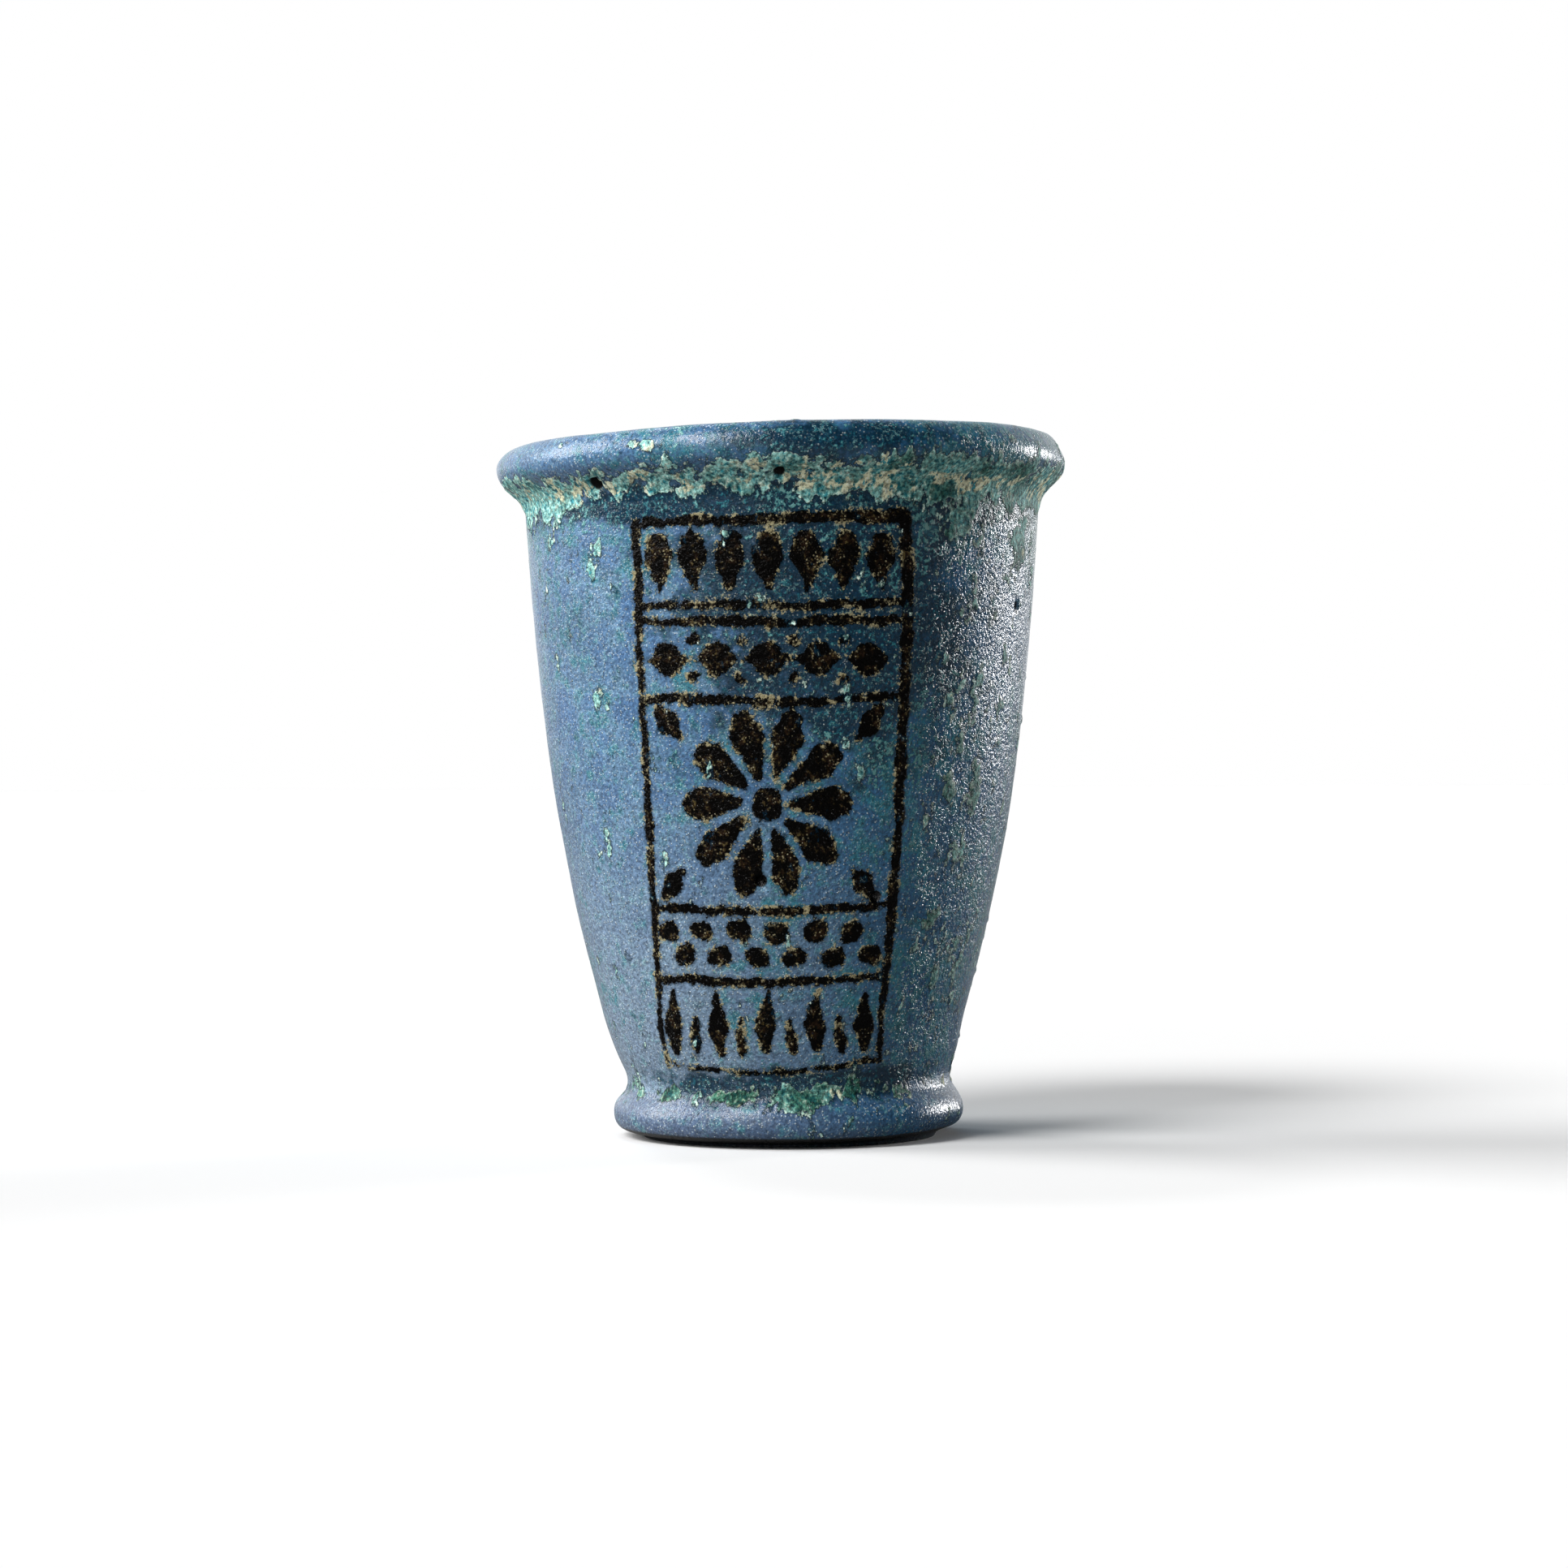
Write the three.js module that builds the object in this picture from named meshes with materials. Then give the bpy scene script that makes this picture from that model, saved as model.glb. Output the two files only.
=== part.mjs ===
// Faience libation cup, modelled in the pieces that it was made in: a tapered wall formed round a
// core, a foot disc and a rolled rim shaped by hand, and a bed of wet paste that lutes each of
// the two to the wall. Millimetres, +Z up. The origin is on the table, under the middle of the
// mouth, and the high side of the mouth is at +X.

import * as THREE from "three";

// Whole cup
const CUP_HEIGHT = 63.1; // table to the top of the lip, halfway up the slope of the mouth
const SECTORS = 64; // flats round every turned form, alike on all so that seats match

// Foot disc
const FOOT_HEIGHT = 4.7;
const FOOT_REACH = 1.25; // how far its rounded edge stands out past the waist
const EDGE_LEVEL = 2.1; // height of the edge's widest line
const TOE_TUCK = 2.7; // how far the ring that touches the table lies inside the edge
const STANDING_WIDTH = 2.9; // of that ring
const HOLLOW_DEPTH = 0.5; // of the shallow hollow inside it

// Beds of luting paste
const FOOT_BED = 0.8;
const RIM_BED = 0.7;
const WIPE_DEPTH = 0.06; // how far a bed's wiped edge is drawn in

// Wall
const WAIST_RADIUS = 14.75; // narrowest line, where foot and wall meet the bed
const COVE_HEIGHT = 2.3; // hollow turn from the waist to the wall's own taper
const COVE_REACH = 0.8; // how far the wall stands out past the waist at the top of the cove
const SHOULDER_RADIUS = 23.4; // outside, at the wall's upper edge
const KNEE_WALL = 3.3; // thickness of the wall at the knee
const THROAT_WALL = 2.6; // thickness of the wall at its upper edge
const FLOOR_THICKNESS = 4.5;
const FLOOR_TURN = 4.2; // height over which the floor turns up into the wall

// Rolled rim
const RIM_HEIGHT = 6.4; // its seat to the top of the lip
const RIM_REACH = 2.5; // how far the roll stands out past the wall's upper edge
const CREST_SETBACK = 1.5; // how far the top of the lip lies inside the roll's widest line

// What the hand left uneven
const FOOT_SHIFT = 0.42; // the foot was set this far off the axis, towards +X
const SHIFT_FADE = 6; // height above the waist over which that shift dies out
const SEAT_RISE = 0.33; // the waist at +X stands this far above the mean, and at -X below it
const SEAT_FADE = 10; // height above the waist over which its slope dies out
const MOUTH_RISE = 0.68; // the same for the lip
const MOUTH_DEPTH = 14; // how far below the lip the slope of the mouth begins

// Radii that follow
const FOOT_RADIUS = WAIST_RADIUS + FOOT_REACH;
const STANDING_RADIUS = FOOT_RADIUS - TOE_TUCK;
const HOLLOW_RADIUS = STANDING_RADIUS - STANDING_WIDTH;
const KNEE_RADIUS = WAIST_RADIUS + COVE_REACH;
const THROAT_RADIUS = SHOULDER_RADIUS - THROAT_WALL;
const RIM_RADIUS = SHOULDER_RADIUS + RIM_REACH;
const CREST_RADIUS = RIM_RADIUS - CREST_SETBACK;

// Levels of the seats
const BED_LEVEL = FOOT_HEIGHT + FOOT_BED;
const KNEE_LEVEL = BED_LEVEL + COVE_HEIGHT;
const FLOOR_LEVEL = BED_LEVEL + FLOOR_THICKNESS;
const RIM_LEVEL = CUP_HEIGHT - RIM_HEIGHT;
const WALL_TOP = RIM_LEVEL - RIM_BED;

// Handles of the curved stretches, as shares of the step from a stretch's start to its end.
// Each pair is the share of the radius and the share of the height.
const hollowShares = [[0.4, 0], [0.8, 0.55]];
const toeShares = [[0.05, 0.4], [1, 0]];
const instepShares = [[0, 0.45], [0.7, 0.72]];
const coveShares = [[0, 0.27], [0.56, 0.54]];
const swellShares = [[0.679, 0.379], [0.828, 0.603]];
const floorShares = [[0.72, 0], [0.95, 0.5]];
const flareShares = [[0, 0.5], [0.52, 0.78]];
const overhangShares = [[0.45, 0.32], [1, 0.56]];
const browShares = [[0, 0.42], [0.52, 1]];
const throatShares = [[0.32, 0], [0.988, 0.426]];

// Where the rim's flare turns over into its roll, and where the roll is widest, as shares of the
// step from the rim's seat to its widest radius and its full height.
const turnoverShare = [0.38, 0.323];
const widestShare = [1, 0.64];

// How many chords stand for each kind of stretch
const SHORT_STEPS = 5;
const ROLL_STEPS = 7;
const WALL_STEPS = 14;

const GLAZE_BLUE = 0x5f83a6;
const ROLL_BLUE = 0x6b8fb0;
const FOOT_BLUE = 0x63809a;
const CRUST_GREEN = 0x7fa59c;

// A point of a half section: its radius and its height.
function corner(radius, height) {
  return new THREE.Vector2(radius, height);
}

// The point at the given shares of the radius and of the height between two corners.
function between(start, end, [radiusShare, heightShare]) {
  return corner(
    THREE.MathUtils.lerp(start.x, end.x, radiusShare),
    THREE.MathUtils.lerp(start.y, end.y, heightShare),
  );
}

// A curved stretch of outline from one corner to another, both corners included.
function stretch(start, end, handleShares, steps) {
  const [first, second] = handleShares.map((share) => between(start, end, share));
  return new THREE.CubicBezierCurve(start, first, second, end).getPoints(steps);
}

// Joins stretches end to end and drops the corner that each shares with the one before it.
function outline(...stretches) {
  return stretches.reduce((points, next) => {
    const last = points[points.length - 1];
    return points.concat(last && last.equals(next[0]) ? next.slice(1) : next);
  }, []);
}

// Moves a turned form to where the hand left it. Every level stays a plane, so that two pieces
// which share a seat still share it afterwards.
function settle(geometry) {
  const place = geometry.attributes.position;
  const slopeLevel = CUP_HEIGHT - MOUTH_DEPTH;
  for (let i = 0; i < place.count; i += 1) {
    const x = place.getX(i);
    const z = place.getZ(i);
    const footShare = 1 - THREE.MathUtils.smoothstep(z, BED_LEVEL, BED_LEVEL + SHIFT_FADE);
    const seatShare = THREE.MathUtils.smoothstep(z, 0, FOOT_HEIGHT)
      - THREE.MathUtils.smoothstep(z, BED_LEVEL, BED_LEVEL + SEAT_FADE);
    const mouthShare = THREE.MathUtils.clamp((z - slopeLevel) / MOUTH_DEPTH, 0, 1) ** 2;
    const seatSlope = SEAT_RISE * seatShare / WAIST_RADIUS;
    const mouthSlope = MOUTH_RISE * mouthShare / CREST_RADIUS;
    place.setX(i, x + FOOT_SHIFT * footShare);
    place.setZ(i, z + (seatSlope + mouthSlope) * x);
  }
  geometry.computeVertexNormals();
  return geometry;
}

// Turns a half section round the axis and gives the piece its name and colour.
function turned(name, points, color) {
  const geometry = new THREE.LatheGeometry(points, SECTORS).rotateX(Math.PI / 2);
  const material = new THREE.MeshStandardMaterial({ color, roughness: 0.4, metalness: 0 });
  const piece = new THREE.Mesh(settle(geometry), material);
  piece.name = name;
  return piece;
}

// A low disc with a rounded edge, hollowed underneath so that it stands on a ring.
function makeFootDisc() {
  const edge = corner(FOOT_RADIUS, EDGE_LEVEL);
  const points = outline(
    stretch(corner(0, HOLLOW_DEPTH), corner(HOLLOW_RADIUS, 0), hollowShares, SHORT_STEPS),
    stretch(corner(STANDING_RADIUS, 0), edge, toeShares, SHORT_STEPS),
    stretch(edge, corner(WAIST_RADIUS, FOOT_HEIGHT), instepShares, ROLL_STEPS),
    [corner(0, FOOT_HEIGHT)],
  );
  return turned("foot_disc", points, FOOT_BLUE);
}

// The bed of paste between the foot and the wall's floor, a full disc with a wiped edge.
function makeFootLuting() {
  const points = [
    corner(0, FOOT_HEIGHT),
    corner(WAIST_RADIUS, FOOT_HEIGHT),
    corner(WAIST_RADIUS - WIPE_DEPTH, FOOT_HEIGHT + FOOT_BED / 2),
    corner(WAIST_RADIUS, BED_LEVEL),
    corner(0, BED_LEVEL),
  ];
  return turned("foot_luting", points, CRUST_GREEN);
}

// The drinking vessel without its lip: a closed floor, a cove over the foot, and a wall that
// swells as it rises and thins towards the mouth. Inside and outside follow the same curve.
function makeVesselWall() {
  const knee = corner(KNEE_RADIUS, KNEE_LEVEL);
  const innerKnee = corner(KNEE_RADIUS - KNEE_WALL, KNEE_LEVEL);
  const throat = corner(THROAT_RADIUS, WALL_TOP);
  const innerWall = stretch(innerKnee, throat, swellShares, WALL_STEPS)
    .filter((point) => point.y > FLOOR_LEVEL + FLOOR_TURN);
  const floor = stretch(corner(0, FLOOR_LEVEL), innerWall[0], floorShares, ROLL_STEPS);
  const points = outline(
    [corner(0, BED_LEVEL)],
    stretch(corner(WAIST_RADIUS, BED_LEVEL), knee, coveShares, SHORT_STEPS),
    stretch(knee, corner(SHOULDER_RADIUS, WALL_TOP), swellShares, WALL_STEPS),
    innerWall.reverse(),
    floor.reverse(),
  );
  return turned("vessel_wall", points, GLAZE_BLUE);
}

// The bed of paste between the wall's upper edge and the rim, a flat ring with a wiped edge.
function makeRimLuting() {
  const seat = corner(SHOULDER_RADIUS, WALL_TOP);
  const points = [
    corner(THROAT_RADIUS, WALL_TOP),
    seat,
    corner(SHOULDER_RADIUS - WIPE_DEPTH, WALL_TOP + RIM_BED / 2),
    corner(SHOULDER_RADIUS, RIM_LEVEL),
    corner(THROAT_RADIUS, RIM_LEVEL),
    corner(THROAT_RADIUS, WALL_TOP),
  ];
  return turned("rim_luting", points, CRUST_GREEN);
}

// The everted lip: it flares from the wall in a hollow curve, rolls over to its widest line,
// rounds across the top and runs down the throat.
function makeRimRoll() {
  const seat = corner(SHOULDER_RADIUS, RIM_LEVEL);
  const reach = corner(RIM_RADIUS, CUP_HEIGHT);
  const turnover = between(seat, reach, turnoverShare);
  const widest = between(seat, reach, widestShare);
  const crest = corner(CREST_RADIUS, CUP_HEIGHT);
  const throat = corner(THROAT_RADIUS, RIM_LEVEL);
  const points = outline(
    stretch(seat, turnover, flareShares, SHORT_STEPS),
    stretch(turnover, widest, overhangShares, SHORT_STEPS),
    stretch(widest, crest, browShares, SHORT_STEPS),
    stretch(crest, throat, throatShares, ROLL_STEPS),
    [seat],
  );
  return turned("rim_roll", points, ROLL_BLUE);
}

const cup = new THREE.Group();
cup.add(makeFootDisc());
cup.add(makeFootLuting());
cup.add(makeVesselWall());
cup.add(makeRimLuting());
cup.add(makeRimRoll());

export default cup;
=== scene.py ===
"""Faience libation cup: its glazed pieces, the painted panel, the weathering and the studio.

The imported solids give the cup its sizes. Each of them is replaced by a finer piece that is spun
from the same half section, and all the pieces share one skin, so that glaze, paint and crust run
on over the seats as they do on a cup that was fired whole. Lengths are millimetres until a mesh
is finished.
"""

import logging
import math
from collections.abc import Sequence
from dataclasses import dataclass
from enum import Enum

import bmesh
import bpy
import numpy as np
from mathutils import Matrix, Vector, noise


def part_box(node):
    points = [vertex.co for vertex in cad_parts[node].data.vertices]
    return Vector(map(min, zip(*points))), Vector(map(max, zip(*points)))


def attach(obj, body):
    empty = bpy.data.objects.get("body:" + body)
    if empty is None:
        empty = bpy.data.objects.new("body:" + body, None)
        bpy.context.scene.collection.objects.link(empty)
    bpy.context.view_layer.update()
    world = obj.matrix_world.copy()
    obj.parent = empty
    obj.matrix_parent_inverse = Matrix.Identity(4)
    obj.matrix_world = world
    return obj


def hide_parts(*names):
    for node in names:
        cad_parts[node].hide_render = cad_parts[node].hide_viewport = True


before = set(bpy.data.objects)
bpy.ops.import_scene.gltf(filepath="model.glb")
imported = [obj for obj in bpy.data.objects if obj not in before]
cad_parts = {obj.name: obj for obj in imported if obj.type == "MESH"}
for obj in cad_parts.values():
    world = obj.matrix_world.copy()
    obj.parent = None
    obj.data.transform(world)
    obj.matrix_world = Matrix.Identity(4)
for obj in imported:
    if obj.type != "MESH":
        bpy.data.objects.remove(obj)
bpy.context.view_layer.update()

log = logging.getLogger("libation_cup")

METRES = 0.001  # one millimetre
SPIN_STEPS = 460  # columns round the cup, 0.3 mm apart on the wall
FINE_SPACING = 0.34  # of the rows on the outside
COARSE_SPACING = 1.0  # of the rows inside the cup and under the foot
SAME_PLACE = 1e-4  # points and levels closer than this are one
LEVEL = 0.9999  # upright part of a normal from which on a face counts as level
SEAM_STEPS = 1e7  # steps in a metre to which places on a seam are rounded

SOFTENER = np.array((1, 2, 3, 2, 1)) / 9  # rounds the corners where one stretch meets the next

Point = tuple[float, float]
Handles = tuple[Point, Point]
Tone = bpy.types.NodeSocket  # a value or colour that varies over a surface, as a node gives it


class Field(Enum):
    """The measures that each point of the skin carries for the glaze material."""

    INK = "ink"  # distance into a painted stroke, in mm, negative outside it
    CRUST = "crust"  # how far the raised turquoise crust has grown, negative where it hasn't
    GROWTH = "growth"  # how thickly small turquoise specks are sown
    CREAM = "cream"  # how far the crust has bleached to cream
    STAIN = "stain"  # depth of the dark teal stains, with painted shade under the lip and in the cove
    PIT = "pit"  # distance into a burst bubble, in mm, negative outside it
    BARE = "bare"  # share of bare, soiled paste, inside the cup and under the foot
    DEEP = "deep"  # share of the deeper blue on the right and over the back, partly painted shade away from the lamps
    GREEN = "green"  # share of the crust that copper has turned green


def cubic(start: Point, end: Point, shares: Handles, spacing: float) -> np.ndarray:
    """Samples a curved stretch of the half section at even distances.

    Args:
        start: radius and height of its first point.
        end: radius and height of its last point.
        shares: its two handles, as shares of the step from start to end.
        spacing: the wanted distance between points.

    Returns:
        The points, one row each, both ends included.
    """
    first, last = np.array(start), np.array(end)
    handles = [first + (last - first) * np.array(share) for share in shares]
    t = np.linspace(0, 1, 400)[:, None]
    dense = (1 - t) ** 3 * first + 3 * (1 - t) ** 2 * t * handles[0]
    dense = dense + 3 * (1 - t) * t**2 * handles[1] + t**3 * last
    run = np.concatenate([[0], np.cumsum(np.hypot(*np.diff(dense, axis=0).T))])
    stops = np.linspace(0, run[-1], max(2, round(run[-1] / spacing) + 1))
    return np.stack([np.interp(stops, run, dense[:, axis]) for axis in (0, 1)], 1)


def straight(start: Point, end: Point, spacing: float) -> np.ndarray:
    """Samples an upright stretch of the half section at even distances, both ends included."""
    steps = max(2, round(abs(end[1] - start[1]) / spacing))
    return np.linspace(start, end, steps + 1)


@dataclass(frozen=True)
class CupForm:
    """The half section of the whole cup, and what the hand left uneven."""

    foot_height: float
    foot_radius: float
    foot_shift: float
    bed_level: float
    waist_radius: float
    shoulder_radius: float
    rim_radius: float
    lip_level: float
    edge_level: float = 2.1
    toe_tuck: float = 2.7
    standing_width: float = 2.9
    hollow_depth: float = 0.5
    cove_height: float = 2.3
    cove_reach: float = 0.8
    knee_wall: float = 3.3
    throat_wall: float = 2.6
    floor_thickness: float = 4.5
    floor_turn: float = 4.2
    rim_height: float = 6.4
    rim_bed: float = 0.7
    crest_setback: float = 1.5
    shift_fade: float = 6.0
    seat_rise: float = 0.33
    seat_fade: float = 10.0
    mouth_rise: float = 0.68
    mouth_depth: float = 14.0

    @classmethod
    def from_frame(cls) -> "CupForm":
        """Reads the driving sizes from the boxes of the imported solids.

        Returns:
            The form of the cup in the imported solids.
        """
        boxes = {name: [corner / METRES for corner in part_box(name)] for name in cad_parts}
        foot_low, foot_high = boxes["foot_disc"]
        return cls(
            foot_height=foot_high.z - cls.seat_rise,
            foot_radius=(foot_high.x - foot_low.x) / 2,
            foot_shift=(foot_high.x + foot_low.x) / 2,
            bed_level=boxes["foot_luting"][1].z - cls.seat_rise,
            waist_radius=(boxes["foot_luting"][1].x - boxes["foot_luting"][0].x) / 2,
            shoulder_radius=(boxes["vessel_wall"][1].x - boxes["vessel_wall"][0].x) / 2,
            rim_radius=(boxes["rim_roll"][1].x - boxes["rim_roll"][0].x) / 2,
            lip_level=boxes["rim_roll"][1].z - cls.mouth_rise,
        )

    @property
    def knee_level(self) -> float:
        """Height of the top of the cove."""
        return self.bed_level + self.cove_height

    @property
    def rim_level(self) -> float:
        """Height of the rim's seat on its bed."""
        return self.lip_level - self.rim_height

    @property
    def wall_top(self) -> float:
        """Height of the wall's upper edge."""
        return self.rim_level - self.rim_bed

    @property
    def seats(self) -> tuple[float, ...]:
        """Levels at which one piece sits on another."""
        return (self.foot_height, self.bed_level, self.wall_top, self.rim_level)

    def stretches(self) -> dict[str, np.ndarray]:
        """Lays the skin out as named stretches, from under the foot over the lip to the floor.

        Returns:
            The points of each stretch by its name, in the order of the skin.
        """
        standing = self.foot_radius - self.toe_tuck
        hollow = standing - self.standing_width
        knee = (self.waist_radius + self.cove_reach, self.knee_level)
        inner_knee = (knee[0] - self.knee_wall, self.knee_level)
        throat = self.shoulder_radius - self.throat_wall
        crest = (self.rim_radius - self.crest_setback, self.lip_level)
        edge = (self.foot_radius, self.edge_level)
        waist_low = (self.waist_radius, self.foot_height)
        waist_high = (self.waist_radius, self.bed_level)
        shoulder = (self.shoulder_radius, self.wall_top)
        seat = (self.shoulder_radius, self.rim_level)
        reach = np.array((self.rim_radius, self.lip_level)) - seat
        turnover = tuple(seat + reach * (0.38, 0.323))
        widest = tuple(seat + reach * (1, 0.64))
        swell = ((0.679, 0.379), (0.828, 0.603))
        inner = cubic(inner_knee, (throat, self.wall_top), swell, COARSE_SPACING)
        floor_level = self.bed_level + self.floor_thickness
        inner = inner[inner[:, 1] > floor_level + self.floor_turn]
        floor = ((0.72, 0), (0.95, 0.5))
        fine, coarse = FINE_SPACING, COARSE_SPACING
        return {
            "hollow": cubic((0, self.hollow_depth), (hollow, 0), ((0.4, 0), (0.8, 0.55)), coarse),
            "standing": cubic((hollow, 0), (standing, 0), ((0.3, 0), (0.7, 0)), fine * 2),
            "toe": cubic((standing, 0), edge, ((0.05, 0.4), (1, 0)), fine),
            "instep": cubic(edge, waist_low, ((0, 0.45), (0.7, 0.72)), fine),
            "foot_bed": straight(waist_low, waist_high, fine),
            "cove": cubic(waist_high, knee, ((0, 0.27), (0.56, 0.54)), fine),
            "swell": cubic(knee, shoulder, swell, fine),
            "rim_bed": straight(shoulder, seat, fine),
            "flare": cubic(seat, turnover, ((0, 0.5), (0.52, 0.78)), fine),
            "overhang": cubic(turnover, widest, ((0.45, 0.32), (1, 0.56)), fine),
            "brow": cubic(widest, crest, ((0, 0.42), (0.52, 1)), fine),
            "throat": cubic(crest, (throat, self.rim_level), ((0.32, 0), (0.988, 0.426)), fine * 1.5),
            "throat_bed": straight((throat, self.rim_level), (throat, self.wall_top), fine),
            "inner": inner[::-1],
            "floor": cubic((0, floor_level), tuple(inner[0]), floor, coarse)[::-1],
        }

    def settle(self, place: np.ndarray) -> np.ndarray:
        """Moves points to where the hand left them: the foot off the axis, the mouth on a slope.

        Args:
            place: points of the turned form, one row each.

        Returns:
            The same points in their final place.
        """
        crest = self.rim_radius - self.crest_setback
        slope_level = self.lip_level - self.mouth_depth
        x, z = place[:, 0], place[:, 2]
        foot_share = 1 - smooth(z, self.bed_level, self.bed_level + self.shift_fade)
        seat_share = smooth(z, 0, self.foot_height)
        seat_share = seat_share - smooth(z, self.bed_level, self.bed_level + self.seat_fade)
        mouth_share = np.clip((z - slope_level) / self.mouth_depth, 0, 1) ** 2
        slope = self.seat_rise * seat_share / self.waist_radius + self.mouth_rise * mouth_share / crest
        moved = place.copy()
        moved[:, 0] += self.foot_shift * foot_share
        moved[:, 2] += slope * x
        return moved


@dataclass(frozen=True)
class Skin:
    """The half section joined up, with the way out of the paste at each of its points."""

    points: np.ndarray
    normals: np.ndarray
    runs: np.ndarray
    spans: dict[str, tuple[int, int]]

    @classmethod
    def of(cls, form: CupForm) -> "Skin":
        """Joins the stretches of a form, dropping the point that each shares with the next.

        Args:
            form: the cup's sizes.

        Returns:
            The skin, softened where its outer stretches meet.
        """
        spans, kept, count = {}, [], 0
        for name, stretch in form.stretches().items():
            joined = stretch if not kept or not np.allclose(kept[-1][-1], stretch[0]) else stretch[1:]
            first = count if joined is stretch else count - 1
            count += len(joined)
            kept.append(joined)
            spans[name] = (first, count - 1)
        points = np.concatenate(kept)
        soft = slice(spans["toe"][0] + 3, spans["brow"][1] - 3)
        points[soft, 0] = np.convolve(points[:, 0], SOFTENER, "same")[soft]
        along = np.gradient(points, axis=0)
        along /= np.hypot(*along.T)[:, None]
        normals = np.stack([along[:, 1], -along[:, 0]], 1)
        runs = np.concatenate([[0], np.cumsum(np.hypot(*np.diff(points, axis=0).T))])
        return cls(points, normals, runs, spans)

    def rows(self, first: str, last: str) -> list[int]:
        """Numbers of the skin's points from the start of one stretch to the end of another."""
        return list(range(self.spans[first][0], self.spans[last][1] + 1))


def fractal(place: np.ndarray, size: float, octaves: int, seed: float, tall: float = 1) -> np.ndarray:
    """Rough values between about -1 and 1 at points in space, the same on every run.

    Args:
        place: points, one row each.
        size: width of the largest lumps.
        octaves: how many finer layers are added.
        seed: shifts the pattern, so that two fields differ.
        tall: how much taller than wide the lumps are.

    Returns:
        One value for each point.
    """
    scaled = place / (size, size, size * tall) + seed
    return np.array([noise.fractal(Vector(p), 0.8, 2.1, octaves) for p in scaled.tolist()])


def smooth(value: np.ndarray, low: float, high: float) -> np.ndarray:
    """A soft step from 0 at low to 1 at high."""
    t = np.clip((value - low) / (high - low), 0, 1)
    return t * t * (3 - 2 * t)


def bell(
    value: np.ndarray, middle: float | np.ndarray, width: float | np.ndarray, power: int = 2
) -> np.ndarray:
    """Falls from 1 at the middle to nothing on both sides, with steeper flanks for a higher power."""
    return np.exp(-(((value - middle) / width) ** power))


@dataclass(frozen=True)
class Places:
    """Points of the skin, with the ways in which the painter and the weather see them."""

    at: np.ndarray  # points of the turned form
    normal: np.ndarray  # way out of the paste
    inward: np.ndarray  # 0 outside, rising to 1 a few millimetres down the throat
    under: np.ndarray  # 1 on the underside, 0 elsewhere

    @property
    def outside(self) -> np.ndarray:
        """True on the outside of the foot, the wall and the rim."""
        return (self.inward == 0) & (self.under == 0)

    @property
    def radius(self) -> np.ndarray:
        """Distance from the axis."""
        return np.hypot(self.at[:, 0], self.at[:, 1])

    @property
    def angle(self) -> np.ndarray:
        """Degrees round the cup, 0 at the front and 90 at +X."""
        return np.degrees(np.arctan2(self.at[:, 0], -self.at[:, 1]))

    @property
    def height(self) -> np.ndarray:
        """Height over the table."""
        return self.at[:, 2]

    def away_from(self, angle: float) -> np.ndarray:
        """Degrees round the cup from a given angle, between -180 and 180."""
        return (self.angle - angle + 180) % 360 - 180


@dataclass(frozen=True)
class BrushMark:
    """One touch of the brush: it runs from one spot to another and changes width on the way."""

    start: Point
    end: Point
    start_width: float
    end_width: float

    def depth(self, across: np.ndarray, up: np.ndarray) -> np.ndarray:
        """Measures how far inside the mark points lie.

        Args:
            across: their places to the right of the panel's middle line.
            up: their heights.

        Returns:
            The depth of each in millimetres, negative outside the mark.
        """
        step = np.subtract(self.end, self.start)
        reach = max(float(step @ step), 1e-9)
        away = (across - self.start[0], up - self.start[1])
        t = np.clip((away[0] * step[0] + away[1] * step[1]) / reach, 0, 1)
        gap = np.hypot(away[0] - t * step[0], away[1] - t * step[1])
        return (self.start_width + (self.end_width - self.start_width) * t) / 2 - gap


def stroke(spots: list[Point], widths: Sequence[float]) -> list[BrushMark]:
    """A run of brush marks through several spots, with the brush's width at each."""
    return [BrushMark(*each) for each in zip(spots, spots[1:], widths, widths[1:])]


def bow(start: Point, middle: Point, end: Point, widths: tuple[float, float, float]) -> list[BrushMark]:
    """Draws a bent stroke in eight marks.

    Args:
        start: where it starts.
        middle: the spot towards which it bends, without reaching it.
        end: where it ends.
        widths: the brush's width at the three.

    Returns:
        The marks.
    """
    spots, wide = [], []
    for t in np.linspace(0, 1, 9).tolist():
        shares = ((1 - t) ** 2, 2 * (1 - t) * t, t * t)
        trio = (start, middle, end)
        spots.append(tuple(sum(s * p[axis] for s, p in zip(shares, trio)) for axis in (0, 1)))
        wide.append(sum(s * w for s, w in zip(shares, widths)))
    return stroke(spots, wide)


def across(count: int, step: float) -> list[float]:
    """Places of a row of motifs, from left to right about the middle of the panel."""
    return [(i - (count - 1) / 2) * step for i in range(count)]


def mirrored(marks: list[BrushMark]) -> list[BrushMark]:
    """Adds the mirror image of some marks about the middle of the panel.

    Args:
        marks: those on one side.

    Returns:
        The marks of both sides.
    """
    other = [
        BrushMark((-m.start[0], m.start[1]), (-m.end[0], m.end[1]), m.start_width, m.end_width)
        for m in marks
    ]
    return marks + other


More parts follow.
